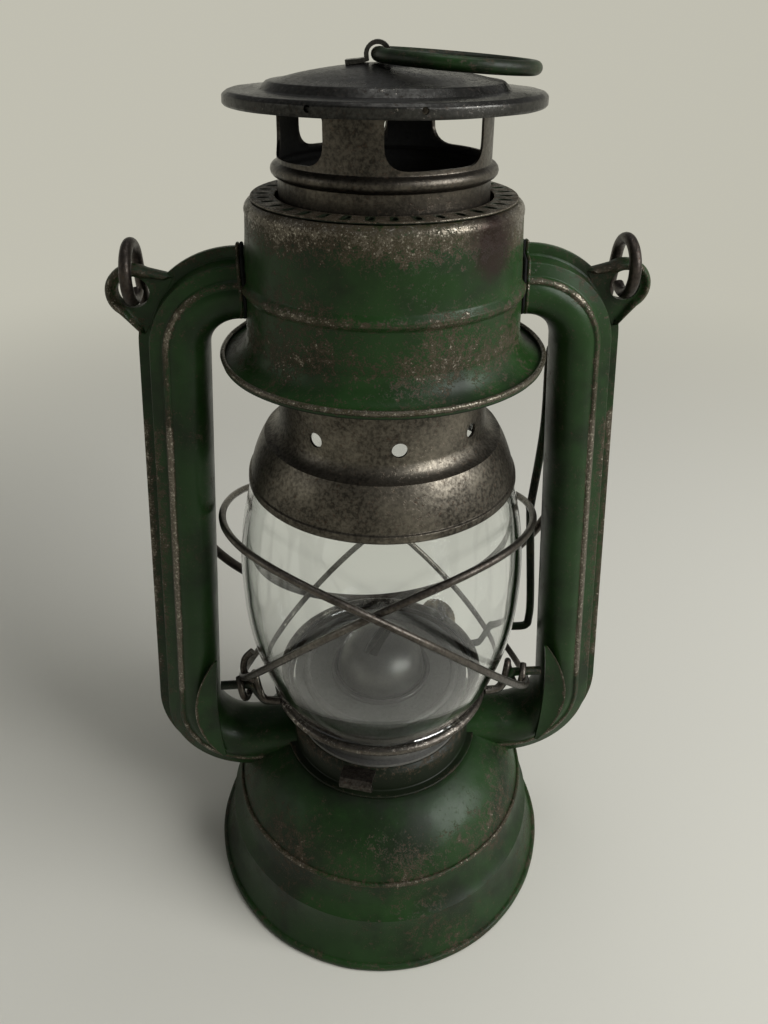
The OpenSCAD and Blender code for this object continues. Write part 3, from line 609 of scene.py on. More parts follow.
def punch(piece, name, material, count, ring, height, turn, tip, length, width, depth):
    return bakeTree(name, piece, punchTree, {
        "Count": count, "Ring radius": ring * mm, "Height": height * mm, "First turn": radians(turn),
        "Tip": radians(tip), "Length": length * mm, "Width": width * mm, "Depth": depth * mm,
        "Finish": material})


# A smooth path through a few points
def smoothPath(points, count):
    out = []
    last = len(points) - 1
    for i in range(last):
        p0, p1 = Vector(points[max(i - 1, 0)]), Vector(points[i])
        p2, p3 = Vector(points[i + 1]), Vector(points[min(i + 2, last)])
        for k in range(count):
            t = k / count
            q = 0.5 * (2 * p1 + (p2 - p0) * t + (2 * p0 - 5 * p1 + 4 * p2 - p3) * t * t
                       + (3 * p1 - p0 - 3 * p2 + p3) * t ** 3)
            out.append(tuple(q))
    out.append(tuple(points[-1]))
    return out


# Angle from the front, positive to the right, to a direction in plan
def fromFront(turn):
    return sin(radians(turn)), -cos(radians(turn))


# Tank
tank = {"footR": 62.0, "footIn": 56.0, "footH": 2.4, "creaseR": 57.0, "creaseZ": 18.0, "shoulderR": 53.0,
        "shoulderZ": 30.5, "domeR": 36.0, "domeZ": 49.0, "domeIn": 31.2, "bulge": 2.7, "sheet": 1.0,
        "bead": 0.75, "beadWear": 0.75, "domeWear": (0.36, 0.75), "steps": 192, "skirtDent": 0.22,
        "domeDent": 0.28}


def makeTank():
    foot, inner, h = tank["footR"], tank["footIn"], tank["footH"]
    r, z, sheet = tank["shoulderR"], tank["shoulderZ"], tank["sheet"]
    start = (foot - 1, h * 0.6, 0, 0.4)
    crease = (tank["creaseR"], tank["creaseZ"])
    throat = (r + 0.8, tank["creaseZ"] + 5)
    path = [start] + bowed(start, crease, -1.2, 12, 0.12) + bowed(crease, throat, -0.3, 5, 0.05)
    skirt = sheetOutline(roundCorners(path + [(r, z - 1.0, 0, 0.3), (r, z, 0, 0.5)]), sheet)
    ring = roundCorners([(inner, 0, 0.4, 0.3), (foot, 0, 1.1, 0.4), (foot, h, 1.1, 0.4),
                         (inner, h, 0.4, 0)], 5, True)
    piece = turned("tankSkirt", [skirt, ring], tank["steps"], tank["skirtDent"])
    settle(piece, "frame", tankPaint, "green_paint", "tank_skirt")
    shoulder = (r, z, 0, 0.7)
    rise = bowed(shoulder, (tank["domeR"], tank["domeZ"]), tank["bulge"], 22)
    # The dome's wear falls below zero towards the collar, so the top of the dome turns darker towards the
    # collar
    worn, collarDarkening = tank["domeWear"]
    rise = [(p[0], p[1], 0, worn - collarDarkening * (i / len(rise)) ** 2) for i, p in enumerate(rise)]
    dome = sheetOutline(roundCorners([shoulder] + rise + [(tank["domeIn"], tank["domeZ"], 0, 0)]), sheet)
    bead = beadOutline(r + 0.15, z + 0.1, tank["bead"], tank["beadWear"])
    piece = turned("tankDome", [dome, bead], tank["steps"], tank["domeDent"])
    settle(piece, "frame", tankPaint, "green_paint", "tank_dome")


collar = {"r": 33.0, "low": 49.0, "high": 59.0, "flange": 35.6, "bevel": 1.5, "lip": 29.0, "dent": 0.12}


def makeCollar():
    r, low, high, flange, bevel, lip = (collar[key] for key in ("r", "low", "high", "flange", "bevel", "lip"))
    outline = roundCorners([
        (r - 1, low), (flange, low, 0.3, 0.4), (flange, low + 1, 0.4, 0.6), (r, low + 1.1, 0.6, 0),
        (r, high - bevel, 1.2, 0.8), (r - bevel, high, 0.8, 0.8), (lip, high, 0.2, 0.2), (lip, high - 1),
        (r - bevel - 0.4, high - 1), (r - 1, high - bevel - 0.4)], 4, True)
    piece = turned("burnerCollar", [outline], dent=collar["dent"])
    # The collar takes the darker paint: painted shade under the globe plate
    settle(piece, "frame", shadedPaint, "green_paint", "burner_collar")


makeTank()
makeCollar()
print("tank made")

# Burner
burner = {"z": 73.5, "plateR": 32.2, "beadR": 27.6, "bead": 1.5, "coneR": 18.5, "coneH": 14.5,
          "coneTop": 3.0, "fullness": 0.3, "wickTurn": 150.0, "slot": (17.4, 5.0), "slotZ": (-7, 4),
          "steps": 144, "dent": 0.1}


def makeBurner():
    z, r, rim = burner["z"], burner["coneR"], burner["plateR"]
    plate = roundCorners([(r - 2.5, z), (rim, z, 0.2), (rim, z + 1, 0.4, 0.3), (r - 2.5, z + 1)], 3, True)
    bead = beadOutline(burner["beadR"], z + 0.9, burner["bead"], 0.3)
    piece = turned("burnerPlate", [plate, bead], burner["steps"], burner["dent"])
    settle(piece, "frame", burnerSteel, "dark_steel", "burner_plate")
    foot, top = (r - 2.6, z + 1.5), (burner["coneTop"], z + 1 + burner["coneH"])
    # The trough round the foot of the cap has a wear below zero: painted shade, black in the recess
    path = [(r, z + 1.0, 0, 0.3), (r - 0.1, z + 2.3, 0.4, 0.4), (r - 1.1, z + 2.3, 0.4, 0.0),
            (r - 2.0, z + 1.3, 0, -0.9), foot + (0, -0.7)]
    path += bowed(foot, top, burner["coneH"] * burner["fullness"], 18) + [(0.0, top[1], 0, 0)]
    cone = turned("flameCap", [sheetOutline(roundCorners(path), 1.0)], burner["steps"], burner["dent"])
    long, wide = burner["slot"]
    u = Vector(fromFront(burner["wickTurn"]))
    v = Vector((-u.y, u.x))
    spots = [u * su * long / 2 + v * sv * wide / 2 for su, sv in ((-1, -1), (1, -1), (1, 1), (-1, 1))]
    ends = [[(spot.x, spot.y, top[1] + past, 0) for spot in spots] for past in burner["slotZ"]]
    piece = cutWith(cone, swept("slotCutter", ends))
    settle(piece, "frame", flameSteel, "dark_steel", "burner_cone")


# Thumb tab in front, with a curled end
tab = {"turn": -106.0, "wide": 11.0, "sheet": 0.9, "wear": 0.5,
       "way": [(33.3, 59.9), (34.6, 60.1), (37.6, 61.2), (39.2, 61.1), (40.2, 60.0), (40.1, 58.4),
               (39.1, 57.3), (37.6, 57.1)]}


def makeTab():
    piece = strip("burnerTab", tab["way"], tab["wide"], tab["sheet"], tab["turn"], tab["wear"])
    settle(piece, "frame", guardSteel, "green_paint", "burner_tab")


makeBurner()
makeTab()
print("burner made")

# Globe and its plate
globe = {"z": 73.1, "h": 100.0, "footR": 36.0, "topR": 37.0, "bulge": 11.5, "fullness": (2.5, 2.0),
         "glass": 2.0, "rows": 56, "steps": 144, "sharp": 50, "plateZ": 72.0, "plateR": 38.4,
         "plateIn": 33.0, "rimZ": 74.0, "rim": 1.45, "sheet": 0.8, "dent": 0.08}


def globeRadius(t):
    fullness = globe["fullness"][0 if t < 0.5 else 1]
    straight = globe["footR"] + (globe["topR"] - globe["footR"]) * t
    return straight + globe["bulge"] * (1 - abs(2 * t - 1) ** fullness)


def makeGlobe():
    rows = globe["rows"]
    outer = [(globeRadius(i / rows), globe["z"] + globe["h"] * i / rows, 0) for i in range(rows + 1)]
    piece = turned("globe", [sheetOutline(outer, globe["glass"])], globe["steps"], sharp=globe["sharp"])
    settle(piece, "globe_carriage", globeGlass, "clear_glass", "globe")
    z, rim, low, high, sheet = (globe[key] for key in ("plateZ", "plateR", "plateIn", "rimZ", "sheet"))
    dish = roundCorners([(low, z), (rim, z, 0.8, 0.4), (rim, high, 0.3), (rim - sheet, high),
                         (rim - sheet, z + sheet, 0.3), (low, z + sheet, 0.2, 0.3)], 4, True)
    bead = beadOutline(rim - 0.5, high - 0.3, globe["rim"], 0.75)
    lowBead = beadOutline(low + 0.5, z + 0.3, 0.55, 0.4, 10)
    piece = turned("globePlate", [dish, bead, lowBead], dent=globe["dent"])
    settle(piece, "globe_carriage", guardSteel, "grey_wire", "gallery")


makeGlobe()
print("globe made")

# Guard wires
guard = {"wire": 1.2, "turn": 5.2, "inR": 50.5, "outR": 53.1, "armY": 10.0, "armZ": 78.4,
         "wave": (-35.8, 18.6, 3.2, 6.7), "steps": 168, "wear": 0.25, "tipWear": 0.1,
         "tip": ((-45.8, -10.2, 80.2), (-48.8, -10.2, 84.0), (-48.4, -9.8, 89.5), (-45.6, -9.4, 92.6)),
         "eye": 4.0, "eyeX": (50.8, 0.8), "eyeDrop": 0.6, "eyeTurns": range(0, 351, 50),
         "tail": ((42.8, -12.9, 75.4), (39.4, -13.8, 74.2), (36.4, -14.2, 74.2))}


def hoopWave(a):
    s, c, s2, c2 = guard["wave"]
    return s * sin(a) + c * cos(a) + s2 * sin(2 * a) + c2 * cos(2 * a)


# The end of a hoop: a loop round the arm whose tail is tucked into the rim of the plate
def hoopEye(side):
    first, pitch = guard["eyeX"]
    ring = arc((guard["armZ"] - guard["eyeDrop"], guard["armY"]), guard["eye"], guard["eyeTurns"])
    loop = [(side * (first - pitch * k), -y, z) for k, (z, y) in enumerate(ring)]
    return smoothPath(loop + [(side * x, y, z) for x, y, z in guard["tail"]], 5)


def makeHoops():
    turn = radians(guard["turn"])
    middle = guard["armZ"] - (hoopWave(acos(guard["armY"] / guard["outR"]) + turn)
                              + hoopWave(acos(guard["armY"] / guard["inR"]) - turn)) / 2
    for side, r, name, node in ((-1, guard["inR"], "guardHoopLeft", "guard_hoop_left"),
                                (1, guard["outR"], "guardHoopRight", "guard_hoop_right")):
        path = []
        for i in range(guard["steps"]):
            a = 2 * pi * i / guard["steps"]
            path.append((side * r * sin(a - side * turn), -r * cos(a - side * turn), middle + hoopWave(a)))
        wire, wear = guard["wire"], guard["wear"]
        piece = wirePiece(name, path, wire, guardSteel, True, wear)
        joinInto(piece, wirePiece(name + "Eye", hoopEye(side), wire, guardSteel, False, wear))
        if side < 0:
            tip = smoothPath(guard["tip"], 6)
            joinInto(piece, wirePiece("hoopTip", tip, wire, guardSteel, False, guard["tipWear"]))
        settle(piece, "globe_carriage", guardSteel, "grey_wire", node)


# Arms of the plate and the lift handle, one bent wire each
carriage = {"wire": 1.5, "wear": 0.3, "seatZ": 70.4, "riseZ": 78.4, "riseX": (42.6, 46.3), "footR": 36.4,
            "armEnd": 57.3, "leverY": 14.0, "leverX": 58.4, "kneeX": 55.46, "kneeZ": (130.1, 134.1),
            "topZ": 165.1, "hook": (61.75, 190.1), "hookR": 5.0, "hookTurns": range(150, -61, -30)}


def liftFoot(y):
    near, far = carriage["riseX"]
    seat, rise = carriage["seatZ"], carriage["riseZ"]
    return [(sqrt(carriage["footR"] ** 2 - y * y), seat), (near - 2.4, seat), (near, seat + 0.9),
            (far, rise - 0.9), (far + 2.4, rise)]


def carriageWire(name, way, side, y, node):
    path = smoothPath([(side * x, y, z) for x, z in way], 8)
    piece = wirePiece(name, path, carriage["wire"], wirePaint, False, carriage["wear"])
    settle(piece, "globe_carriage", wirePaint, "green_paint", node)


def makeCarriage():
    c = carriage
    x, rise = c["leverX"], c["riseZ"]
    arm = liftFoot(guard["armY"]) + [(c["armEnd"], rise)]
    carriageWire("armLeft", arm, -1, -guard["armY"], "gallery_arm_left")
    carriageWire("armRight", arm, 1, -guard["armY"], "gallery_arm_right")
    way = liftFoot(c["leverY"]) + [(x - 2.6, rise), (x - 0.6, rise + 0.9), (x, rise + 3), (x, rise + 14)]
    way += [(c["kneeX"], z) for z in c["kneeZ"]] + [(x - 0.6, c["topZ"])]
    way += arc(c["hook"], c["hookR"], c["hookTurns"])
    carriageWire("liftLever", way, 1, c["leverY"], "lift_lever")


makeHoops()
makeCarriage()
print("guard made")

# Air tubes, right side; the left ones are mirrored
tube = {"half": 10.75, "depth": 10.5, "bulgeX": -3.6, "bulgeFull": 2.3, "bulgeEnd": 297.0, "bulgeSteps": 18,
        "rib": ((0.3, -9.3), (1.2, -9.8), (2.2, -9.1)), "strip": ((2.7, -8.0), (6.5, -6.9)),
        "stripFoot": 7.1, "flangeT": 1.1, "sheet": 1.0, "upC": (43.25, 203.5), "upR": 20.5,
        "lowC": (47.75, 66.05), "lowR": 22.6, "steps": (24, 40, 28), "hoodEnd": 38.5, "tankEnd": 28.0,
        "rubZ": (75.0, 178.0), "rub": (0.95, 0.35), "patch": 0.9, "patchSize": 0.05, "patchSide": 5.0}


def bulgeSide(inset):
    out = []
    power = 2 / tube["bulgeFull"]
    for k in range(tube["bulgeSteps"] + 1):
        a = radians(180 + (tube["bulgeEnd"] - 180) * k / tube["bulgeSteps"])
        reach = (tube["half"] + tube["bulgeX"] - inset) * abs(cos(a)) ** power
        deep = (inset - tube["depth"]) * abs(sin(a)) ** power
        out.append((tube["bulgeX"] + (reach if cos(a) > 0 else -reach), deep))
    return out


def tubeSection():
    w, t = tube["half"], tube["flangeT"]
    low, crest, high = tube["rib"]
    near, far = tube["strip"]
    foot = tube["stripFoot"]
    outer = roundCorners([(x, y, 0, 0.12) for x, y in bulgeSide(0.0)] + [
        low + (0.4, 1.0), crest + (0.7, 2.8), high + (0.5, 2.2), near + (0.5, 0.1), far + (0.5, 0.9),
        (foot, -t - 0.3, 0.3, 0.0), (foot + 0.7, -t, 0.3, 0.2), (w, -t, 0.35, 1.3), (w, 0.0)], 4)
    inner = [(foot - 1.2, 0.0), (far[0] - 0.9, far[1] + 1.2), (near[0] - 0.6, near[1] + 1.0)]
    inner += bulgeSide(tube["sheet"])[::-1]
    return outer + [(x, y, 0.0) for x, y in inner]


# Spots on the tube's middle line with the turn of the section there
def tubePath():
    upC, lowC = Vector(tube["upC"]), Vector(tube["lowC"])
    gap = lowC - upC
    lean = atan2(gap.x, -gap.y) + asin((tube["lowR"] - tube["upR"]) / gap.length)
    upSteps, midSteps, lowSteps = tube["steps"]

    def elbow(centre, r, start, end, steps):
        turns = [start + (end - start) * i / steps for i in range(steps + 1)]
        return [(centre + r * Vector((cos(a), sin(a))), a) for a in turns]
    upper = elbow(upC, tube["upR"], pi / 2, lean, upSteps)
    lower = elbow(lowC, tube["lowR"], lean, -pi / 2, lowSteps)
    high, low = upper[-1][0], lower[0][0]
    middle = [(high + (low - high) * i / midSteps, lean) for i in range(1, midSteps)]
    start = (Vector((tube["hoodEnd"], upC.y + tube["upR"])), pi / 2)
    end = (Vector((tube["tankEnd"], lowC.y - tube["lowR"])), -pi / 2)
    return [start] + upper + middle + lower + [end]


ear = {"turn": 30.0, "reach": 35.85, "r": 8.2, "hole": 4.8, "low": 23.0, "high": 21.0, "shoulder": 58.0,
       "sunk": 2.2, "near": 0.8, "rim": 2.0, "rimW": 2.1, "rimAt": 0.7, "eyeW": 1.1, "eyeLift": 0.35,
       "proud": 0.15, "tuck": 0.4, "wear": (0.35, 0.6), "rays": 72, "rows": 12}


# One plate of an ear: rings from the hole out to the edge, with a pressed rim
def earRings(front):
    upC = Vector(tube["upC"])
    wall = tube["upR"] + tube["half"] - ear["sunk"]

    def spot(turn, r, about):
        a = radians(ear["turn"] + turn)
        return about + r * Vector((cos(a), sin(a)))
    middle = spot(0, ear["reach"], upC)
    corner = [spot(-ear["low"], wall, upC), spot(-ear["shoulder"], ear["r"], middle),
              spot(ear["shoulder"], ear["r"], middle), spot(ear["high"], wall, upC)]
    rows = []
    for i in range(ear["rays"]):
        a = 2 * pi * i / ear["rays"]
        way = Vector((cos(a), sin(a)))
        reach = ear["r"]
        for k in range(4):
            p, q = corner[k] - middle, corner[(k + 1) % 4] - middle
            e = q - p
            cross = way.x * e.y - way.y * e.x
            if abs(cross) > 1e-9:
                t = (p.x * e.y - p.y * e.x) / cross
                s = (p.x * way.y - p.y * way.x) / cross
                if t > 0 and 0 <= s <= 1:
                    reach = max(reach, t)
        inTube = (middle + way * reach - upC).length < wall + ear["near"]
        rows.append((way, reach, inTube))
    rings = []
    plain, bare = ear["wear"]
    for j in range(ear["rows"] + 1):
        ring = []
        for way, reach, inTube in rows:
            r = ear["hole"] + (reach - ear["hole"]) * j / ear["rows"]
            edge = 0.0 if inTube else max(0.0, 1 - abs(reach - ear["rimW"] * ear["rimAt"] - r) / ear["rimW"])
            eye = max(0.0, 1 - (r - ear["hole"]) / ear["eyeW"])
            lift = tube["flangeT"] + ear["proud"] + ear["eyeLift"] * eye
            lift += ear["rim"] * edge * edge * (3 - 2 * edge)
            if j == ear["rows"]:
                lift = tube["flangeT"] - (ear["tuck"] if inTube else 0.0)
            at = middle + way * r
            ring.append((at.x, -lift if front else lift, at.y, plain + bare * edge))
        rings.append(ring)
    flat = [[(x, 0.0, z, w) for x, y, z, w in ring] for ring in rings]
    return rings + [flat[-1], flat[0]]


def makeTubeHalf(name, side, front, node):
    section = tubeSection()
    rings = []
    for spot, a in tubePath():
        straight = tube["rubZ"][0] < spot.y < tube["rubZ"][1]
        rub = tube["rub"][0 if straight else 1]
        patchAt = Vector((side * tube["patchSide"], 0.0, spot.y * tube["patchSize"]))
        rub *= 1 + tube["patch"] * noise.noise(patchAt)
        rings.append([(side * (spot.x + x * cos(a)), y if front else -y, spot.y + x * sin(a), w * rub)
                      for x, y, w in section])
    body = swept(name, rings)
    plate = [[(side * x, y, z, w) for x, y, z, w in ring] for ring in earRings(front)]
    joinInto(body, swept(name + "Ear", plate, True))
    settle(body, "frame", tubePaint, "green_paint", node)


for side, label in ((-1, "Left"), (1, "Right")):
    for front, face in ((True, "Front"), (False, "Back")):
        makeTubeHalf("tube" + label + face, side, front, "tube_" + label.lower() + "_" + face.lower())

# Guide leaves in front of the lower elbows, cupped towards the free edge
guide = {"inX": 57.1, "lean": 0.4, "foot": 45.45, "tip": 92.05, "bow": 9.18, "hollow": 1.62, "back": 10.9,
         "sheet": 1.0, "curl": 1.7, "rows": 30, "cols": 6, "bare": 1.7, "plain": 0.1, "peg": (60.1, 51.35),
         "pegR": 1.8, "pegIn": 8.0}


def makeGuide(side, label):
    rings = []
    for i in range(1, guide["rows"]):
        t = i / guide["rows"]
        hump = 4 * t * (1 - t)
        z = guide["foot"] + (guide["tip"] - guide["foot"]) * t
        inside = guide["inX"] + guide["lean"] * t + guide["hollow"] * hump
        wide = (guide["bow"] - guide["hollow"]) * hump
        front, back = [], []
        for k in range(guide["cols"] + 1):
            s = k / guide["cols"]
            x, y = side * (inside + wide * s), -guide["back"] - guide["curl"] * s * s * hump
            wear = guide["bare" if k == guide["cols"] else "plain"]
            front.append((x, y - guide["sheet"], z, wear))
            back.append((x, y, z, wear))
        rings.append(front + back[::-1])
    leaf = swept("guide" + label, rings)
    x, z = guide["peg"]
    path = [(side * x, -guide["pegIn"], z), (side * x, -guide["back"] - guide["sheet"] / 2, z)]
    joinInto(leaf, wirePiece("guidePeg" + label, path, guide["pegR"], tubePaint))
    settle(leaf, "frame", tubePaint, "green_paint", "guide_" + label.lower())


makeGuide(-1, "Left")
makeGuide(1, "Right")
print("tubes made")

# Hood
hood = {"z": 202.1, "r": 41.6, "skirtR": 49.5, "top": 250.1, "ribZ": 223.6, "rib": 1.1, "ventR": 38.6,
        "ledgeR": 37.0, "ventIn": 31.6, "ventT": 0.6, "slots": 36, "slot": (3.8, 2.0, 4.0), "slotAt": 35.0,
        "sheet": 1.0, "hem": 0.75, "steps": 192, "dent": 0.25, "dome": 0.9,
        "domeWear": ((0.25, 0.1), (0.5, 0.15), (0.66, 0.35), (0.8, 0.7), (1.0, 1.0))}


def makeHood():
    z, r, rib, top = hood["z"], hood["r"], hood["ribZ"], hood["top"]
    start, root = (hood["skirtR"], z, 0, 0.9), (r + 0.8, z + 4.8)
    path = [start] + bowed(start, root, -1.3, 9, 0.22)
    path += [(r, z + 7.5, 2.0, 0.45), (r, z + 11, 0, 0.55), (r, z + 15, 0, 0.35), (r, rib - 1.6, 1.5, 0.3),
             (r + hood["rib"], rib, 0.9, 0.7), (r + hood["rib"], rib + 1.2, 0.9, 0.7),
             (r - 0.3, rib + 2.8, 1.5, 0.3)]
    path += [(r - 0.3 - hood["dome"] * t, rib + 2.8 + (top - 7.8 - rib) * t, 0, wear)
             for t, wear in hood["domeWear"]]
    path += bowed((r - 1.2, top - 5.0), (hood["ventR"] + 0.3, top - 1), 0.8, 6, 1.2)
    path += [(hood["ledgeR"], top - 1.0, 0, 0.3)]
    shell = sheetOutline(roundCorners(path), hood["sheet"], True)
    hem = beadOutline(hood["skirtR"] - 0.3, z + 0.75, hood["hem"], 1.3)
    piece = turned("hood", [shell, hem], hood["steps"], hood["dent"])
    settle(piece, "frame", hoodPaint, "green_paint", "hood")
    low, inner, outer = top - hood["ventT"], hood["ventIn"], hood["ventR"]
    ring = roundCorners([(inner, low, 0.1), (outer, low, 0.1), (outer, top, 0.3, 1.4),
                         (inner, top, 0.2, 1.2)], 3, True)
    blank = turned("ventBlank", [ring], hood["steps"])
    # The vent ring takes the same darker paint: painted shade inside the hood
    vent = punch(blank, "hoodVent", shadedPaint, hood["slots"], hood["slotAt"], top - 0.5, 0.0, 0.0,
                 *hood["slot"])
    settle(vent, "frame", shadedPaint, "green_paint", "hood_vent")


# Painted shadow line and end bead of each tube at the hood wall: reach, size and wear; the shadow line is a
# black wire, with a wear below zero, standing in for the shade in the joint
joint = {"dark": (0.35, 0.6, -1.0), "bead": (1.5, 0.55, 0.75), "z": 224.5, "sides": 8}


def makeJoints():
    half = [(x, y) for x, y, w in tubeSection() if y <= 0][:-1]
    half = half[:max(i for i, p in enumerate(half) if p[0] >= tube["half"] - 0.01) + 1]
    loop = half + [(x, -y) for x, y in half[::-1]]
    for side, label in ((-1, "Left"), (1, "Right")):
        lines = []
        for out, size, wear in (joint["dark"], joint["bead"]):
            path = [(side * (sqrt(hood["r"] ** 2 - y * y) + out), y, joint["z"] + x) for x, y in loop]
            lines.append(wirePiece("tubeJoint" + label, path, size, tubePaint, True, wear, joint["sides"]))
        joinInto(*lines)
        settle(lines[0], "frame", tubePaint, "green_paint")


makeHood()
makeJoints()
print("hood made")

# Chimney: bell, tube and cap
bell = {"lip": (43.86, 158.9), "hem": 2.6, "ledge": (38.0, 174.5), "flueR": 32.9, "flueZ": 179.0,
        "top": 212.1, "inner": 30.6, "sheet": 0.8, "steps": 176, "dent": 0.2, "holes": 8,
        "hole": (4.6, 4.6, 8.0), "holeZ": 183.0, "holeTurn": 4.5}


def makeBell():
    r, z = bell["lip"]
    hem = z + bell["hem"]
    flue = bell["flueR"]
    path = [(r - 0.25, z, 0, 0.5), (r, z + 0.5, 0.4, 0.3), (r - 0.15, hem - 0.3, 0.3, 0.1),
            (r - 0.85, hem, 0.2, 0.0)]
    path += bowed((r - 0.85, hem + 0.5), bell["ledge"], 0.55, 12, 0.12)
    path += bowed(bell["ledge"], (flue, bell["flueZ"]), -1.0, 9)
    path += [(flue, bell["top"], 0.8, 0.4), (bell["inner"], bell["top"], 0, 0)]
    outline = sheetOutline(roundCorners(path), bell["sheet"], True)
    shell = turned("bellBlank", [outline], bell["steps"], bell["dent"])
    piece = punch(shell, "bell", chimneySteel, bell["holes"], flue, bell["holeZ"], bell["holeTurn"] - 90,
                  90.0, *bell["hole"])
    settle(piece, "chimney", chimneySteel, "dark_steel", "bell")


chimney = {"r": 30.5, "low": 206.1, "high": 279.6, "beadZ": 257.5, "bead": 2.0,
           "beadTurns": range(-75, 76, 25), "windowLow": 260.9, "windowH": 13.0, "post": 16.0,
           "postTurn": -20.0, "round": 8.0, "topRound": 1.5, "sheet": 0.9, "steps": 176, "dent": 0.12,
           "lap": (-18.0, 0.55)}


def makeChimney():
    c = chimney
    r, low, high = c["r"], c["windowLow"], c["windowLow"] + c["windowH"]
    path = [(r, c["low"], 0, 0.2), (r, c["beadZ"] - 2.2, 0.8, 0)]
    path += [(x, z, 0, 0.35) for x, z in arc((r, c["beadZ"]), c["bead"], c["beadTurns"])]
    path += [(r, c["beadZ"] + 2.2, 0.8, 0), (r, low + 0.5, 0, 0.5), (r, c["high"], 0, 0.2)]
    outline = sheetOutline(roundCorners(path), c["sheet"], True)
    piece = turned("chimneyTube", [outline], c["steps"], c["dent"], lap=c["lap"])
    half = r * sin(radians(45) - asin(c["post"] / 2 / r))
    window = roundCorners([(-half, low, c["round"]), (half, low, c["round"]), (half, high, c["topRound"]),
                           (-half, high, c["topRound"])], 7, True)
    for i in range(4):
        ux, uy = fromFront(c["postTurn"] + 45 + 90 * i)
        ends = [[(ux * out - uy * s, uy * out + ux * s, z, 0) for s, z, w in window]
                for out in (r / 2, 1.5 * r)]
        piece = cutWith(piece, swept("windowCutter", ends))
    # The tube takes the darker stack steel: painted shade under the cap
    settle(piece, "chimney", shadedStackSteel, "dark_steel", "chimney_tube")


cap = {"r": 44.6, "z": 274.9, "rim": 3.8, "step": 34.6, "crown": (31.9, 280.93), "crownEnd": 6.0,
       "top": 285.3, "sheet": 0.9, "steps": 176, "dent": 0.45, "holes": 10, "hole": (1.8, 1.8, 3.0),
       "holeAt": 0.55, "holeTurn": 8.0}


def makeCap():
    z, r, top = cap["z"], cap["r"], cap["top"]
    brim = z + cap["rim"]
    path = [(r - 0.5, z, 0, 0.3), (r, z + 0.6, 0.5, 0.4), (r, brim - 1.0, 0.8, 0.5),
            (r - 1.2, brim, 1.0, 0.7), (cap["step"] + 0.4, brim + 0.2, 1.0, 0),
            (cap["crown"][0] + 0.9, cap["crown"][1] + 0.1, 1.2, 0.5)]
    path += bowed(cap["crown"], (cap["crownEnd"], top), 0.5, 10, 0.1) + [(0.0, top, 0, 0)]
    outline = sheetOutline(roundCorners(path), cap["sheet"], True)
    blank = turned("capBlank", [outline], cap["steps"], cap["dent"])
    piece = punch(blank, "cap", capSteel, cap["holes"], r - 0.5, z + cap["holeAt"] * cap["rim"],
                  cap["holeTurn"] - 90, 90.0, *cap["hole"])
    settle(piece, "chimney", capSteel, "dark_steel", "cap")


makeBell()
makeChimney()
makeCap()
print("chimney made")

# Lift ring, its strap and the bail
lift = {"r": 21.5, "wire": 1.95, "wear": 0.30, "sides": 18, "pivot": (-2.0, 287.65), "turn": -4.2,
        "fall": 4.2, "steps": 96}


def makeLiftRing():
    fall, turn = radians(lift["fall"]), radians(lift["turn"])
    path = []
    for x, y in arc((lift["r"], 0), lift["r"], [360 * i / lift["steps"] for i in range(lift["steps"])]):
        x, z = x * cos(fall) + lift["pivot"][0], lift["pivot"][1] - x * sin(fall)
        path.append((x * cos(turn) - y * sin(turn), x * sin(turn) + y * cos(turn), z))
    piece = wirePiece("liftRing", path, lift["wire"], wirePaint, True, lift["wear"], lift["sides"])
    settle(piece, "lift_ring", wirePaint, "green_paint", "lift_ring")


# The strap goes over the ring's wire, its feet flat on the cap
strap = {"wide": 7.8, "sheet": 1.2, "wear": 0.35, "seat": 285.9, "arch": 3.15,
         "archTurns": range(205, -26, -15), "foot": ((8.8, -0.35), (5.2, 0.0), (3.8, 0.25))}


def makeStrap():
    x, z = lift["pivot"]
    foot = [(s, strap["seat"] + h) for s, h in strap["foot"]]
    way = [(x - s, h) for s, h in foot] + arc((x, z), strap["arch"], strap["archTurns"])
    way += [(x + s, h) for s, h in foot[::-1]]
    piece = strip("liftStrap", way, strap["wide"], strap["sheet"], lift["turn"], strap["wear"])
    settle(piece, "chimney", capSteel, "dark_steel", "cap_lug")


bail = {"wire": 1.8, "wear": 0.2, "sides": 16, "eye": 8.4, "eyeTurns": range(0, 286, 5), "leg": 104.0,
        "x": 74.30, "bowTurns": range(180, 361, 3), "z": 227.225, "hang": 16.5}


def makeBail():
    hang = radians(bail["hang"])
    eye = [(bail["x"], y, z) for y, z in arc((0, 0), bail["eye"], bail["eyeTurns"])]
    bow = [(x, bail["eye"], z) for x, z in arc((0, -bail["leg"]), bail["x"], bail["bowTurns"])]
    path = [(-x, y, z) for x, y, z in reversed(eye)] + bow + eye
    path = [(x, y * cos(hang) - z * sin(hang), y * sin(hang) + z * cos(hang) + bail["z"]) for x, y, z in path]
    piece = wirePiece("bail", path, bail["wire"], bailSteel, False, bail["wear"], bail["sides"])
    settle(piece, "bail", bailSteel, "dark_steel", "bail")


makeLiftRing()
makeStrap()
makeBail()
print("ring and bail made")

# Finishes for the solids that stay
kept = {
    "tank_bottom": tankPaint, "filler_neck": dullBrass, "filler_gasket": corkGasket, "filler_cap": tankPaint,
    "air_chamber": burnerSteel, "burner_body": burnerSteel, "wick_tube": bailSteel,
    "wick": cottonWick, "wick_spindle": dullBrass, "wick_knob": dullBrass,
    "spring_seat": chimneySteel, "chimney_spring": chimneySteel}
for name, material in kept.items():
    slots = nodes[name].material_slots
    if len(slots):
        slots[0].material = material
    else:
        nodes[name].data.materials.append(material)

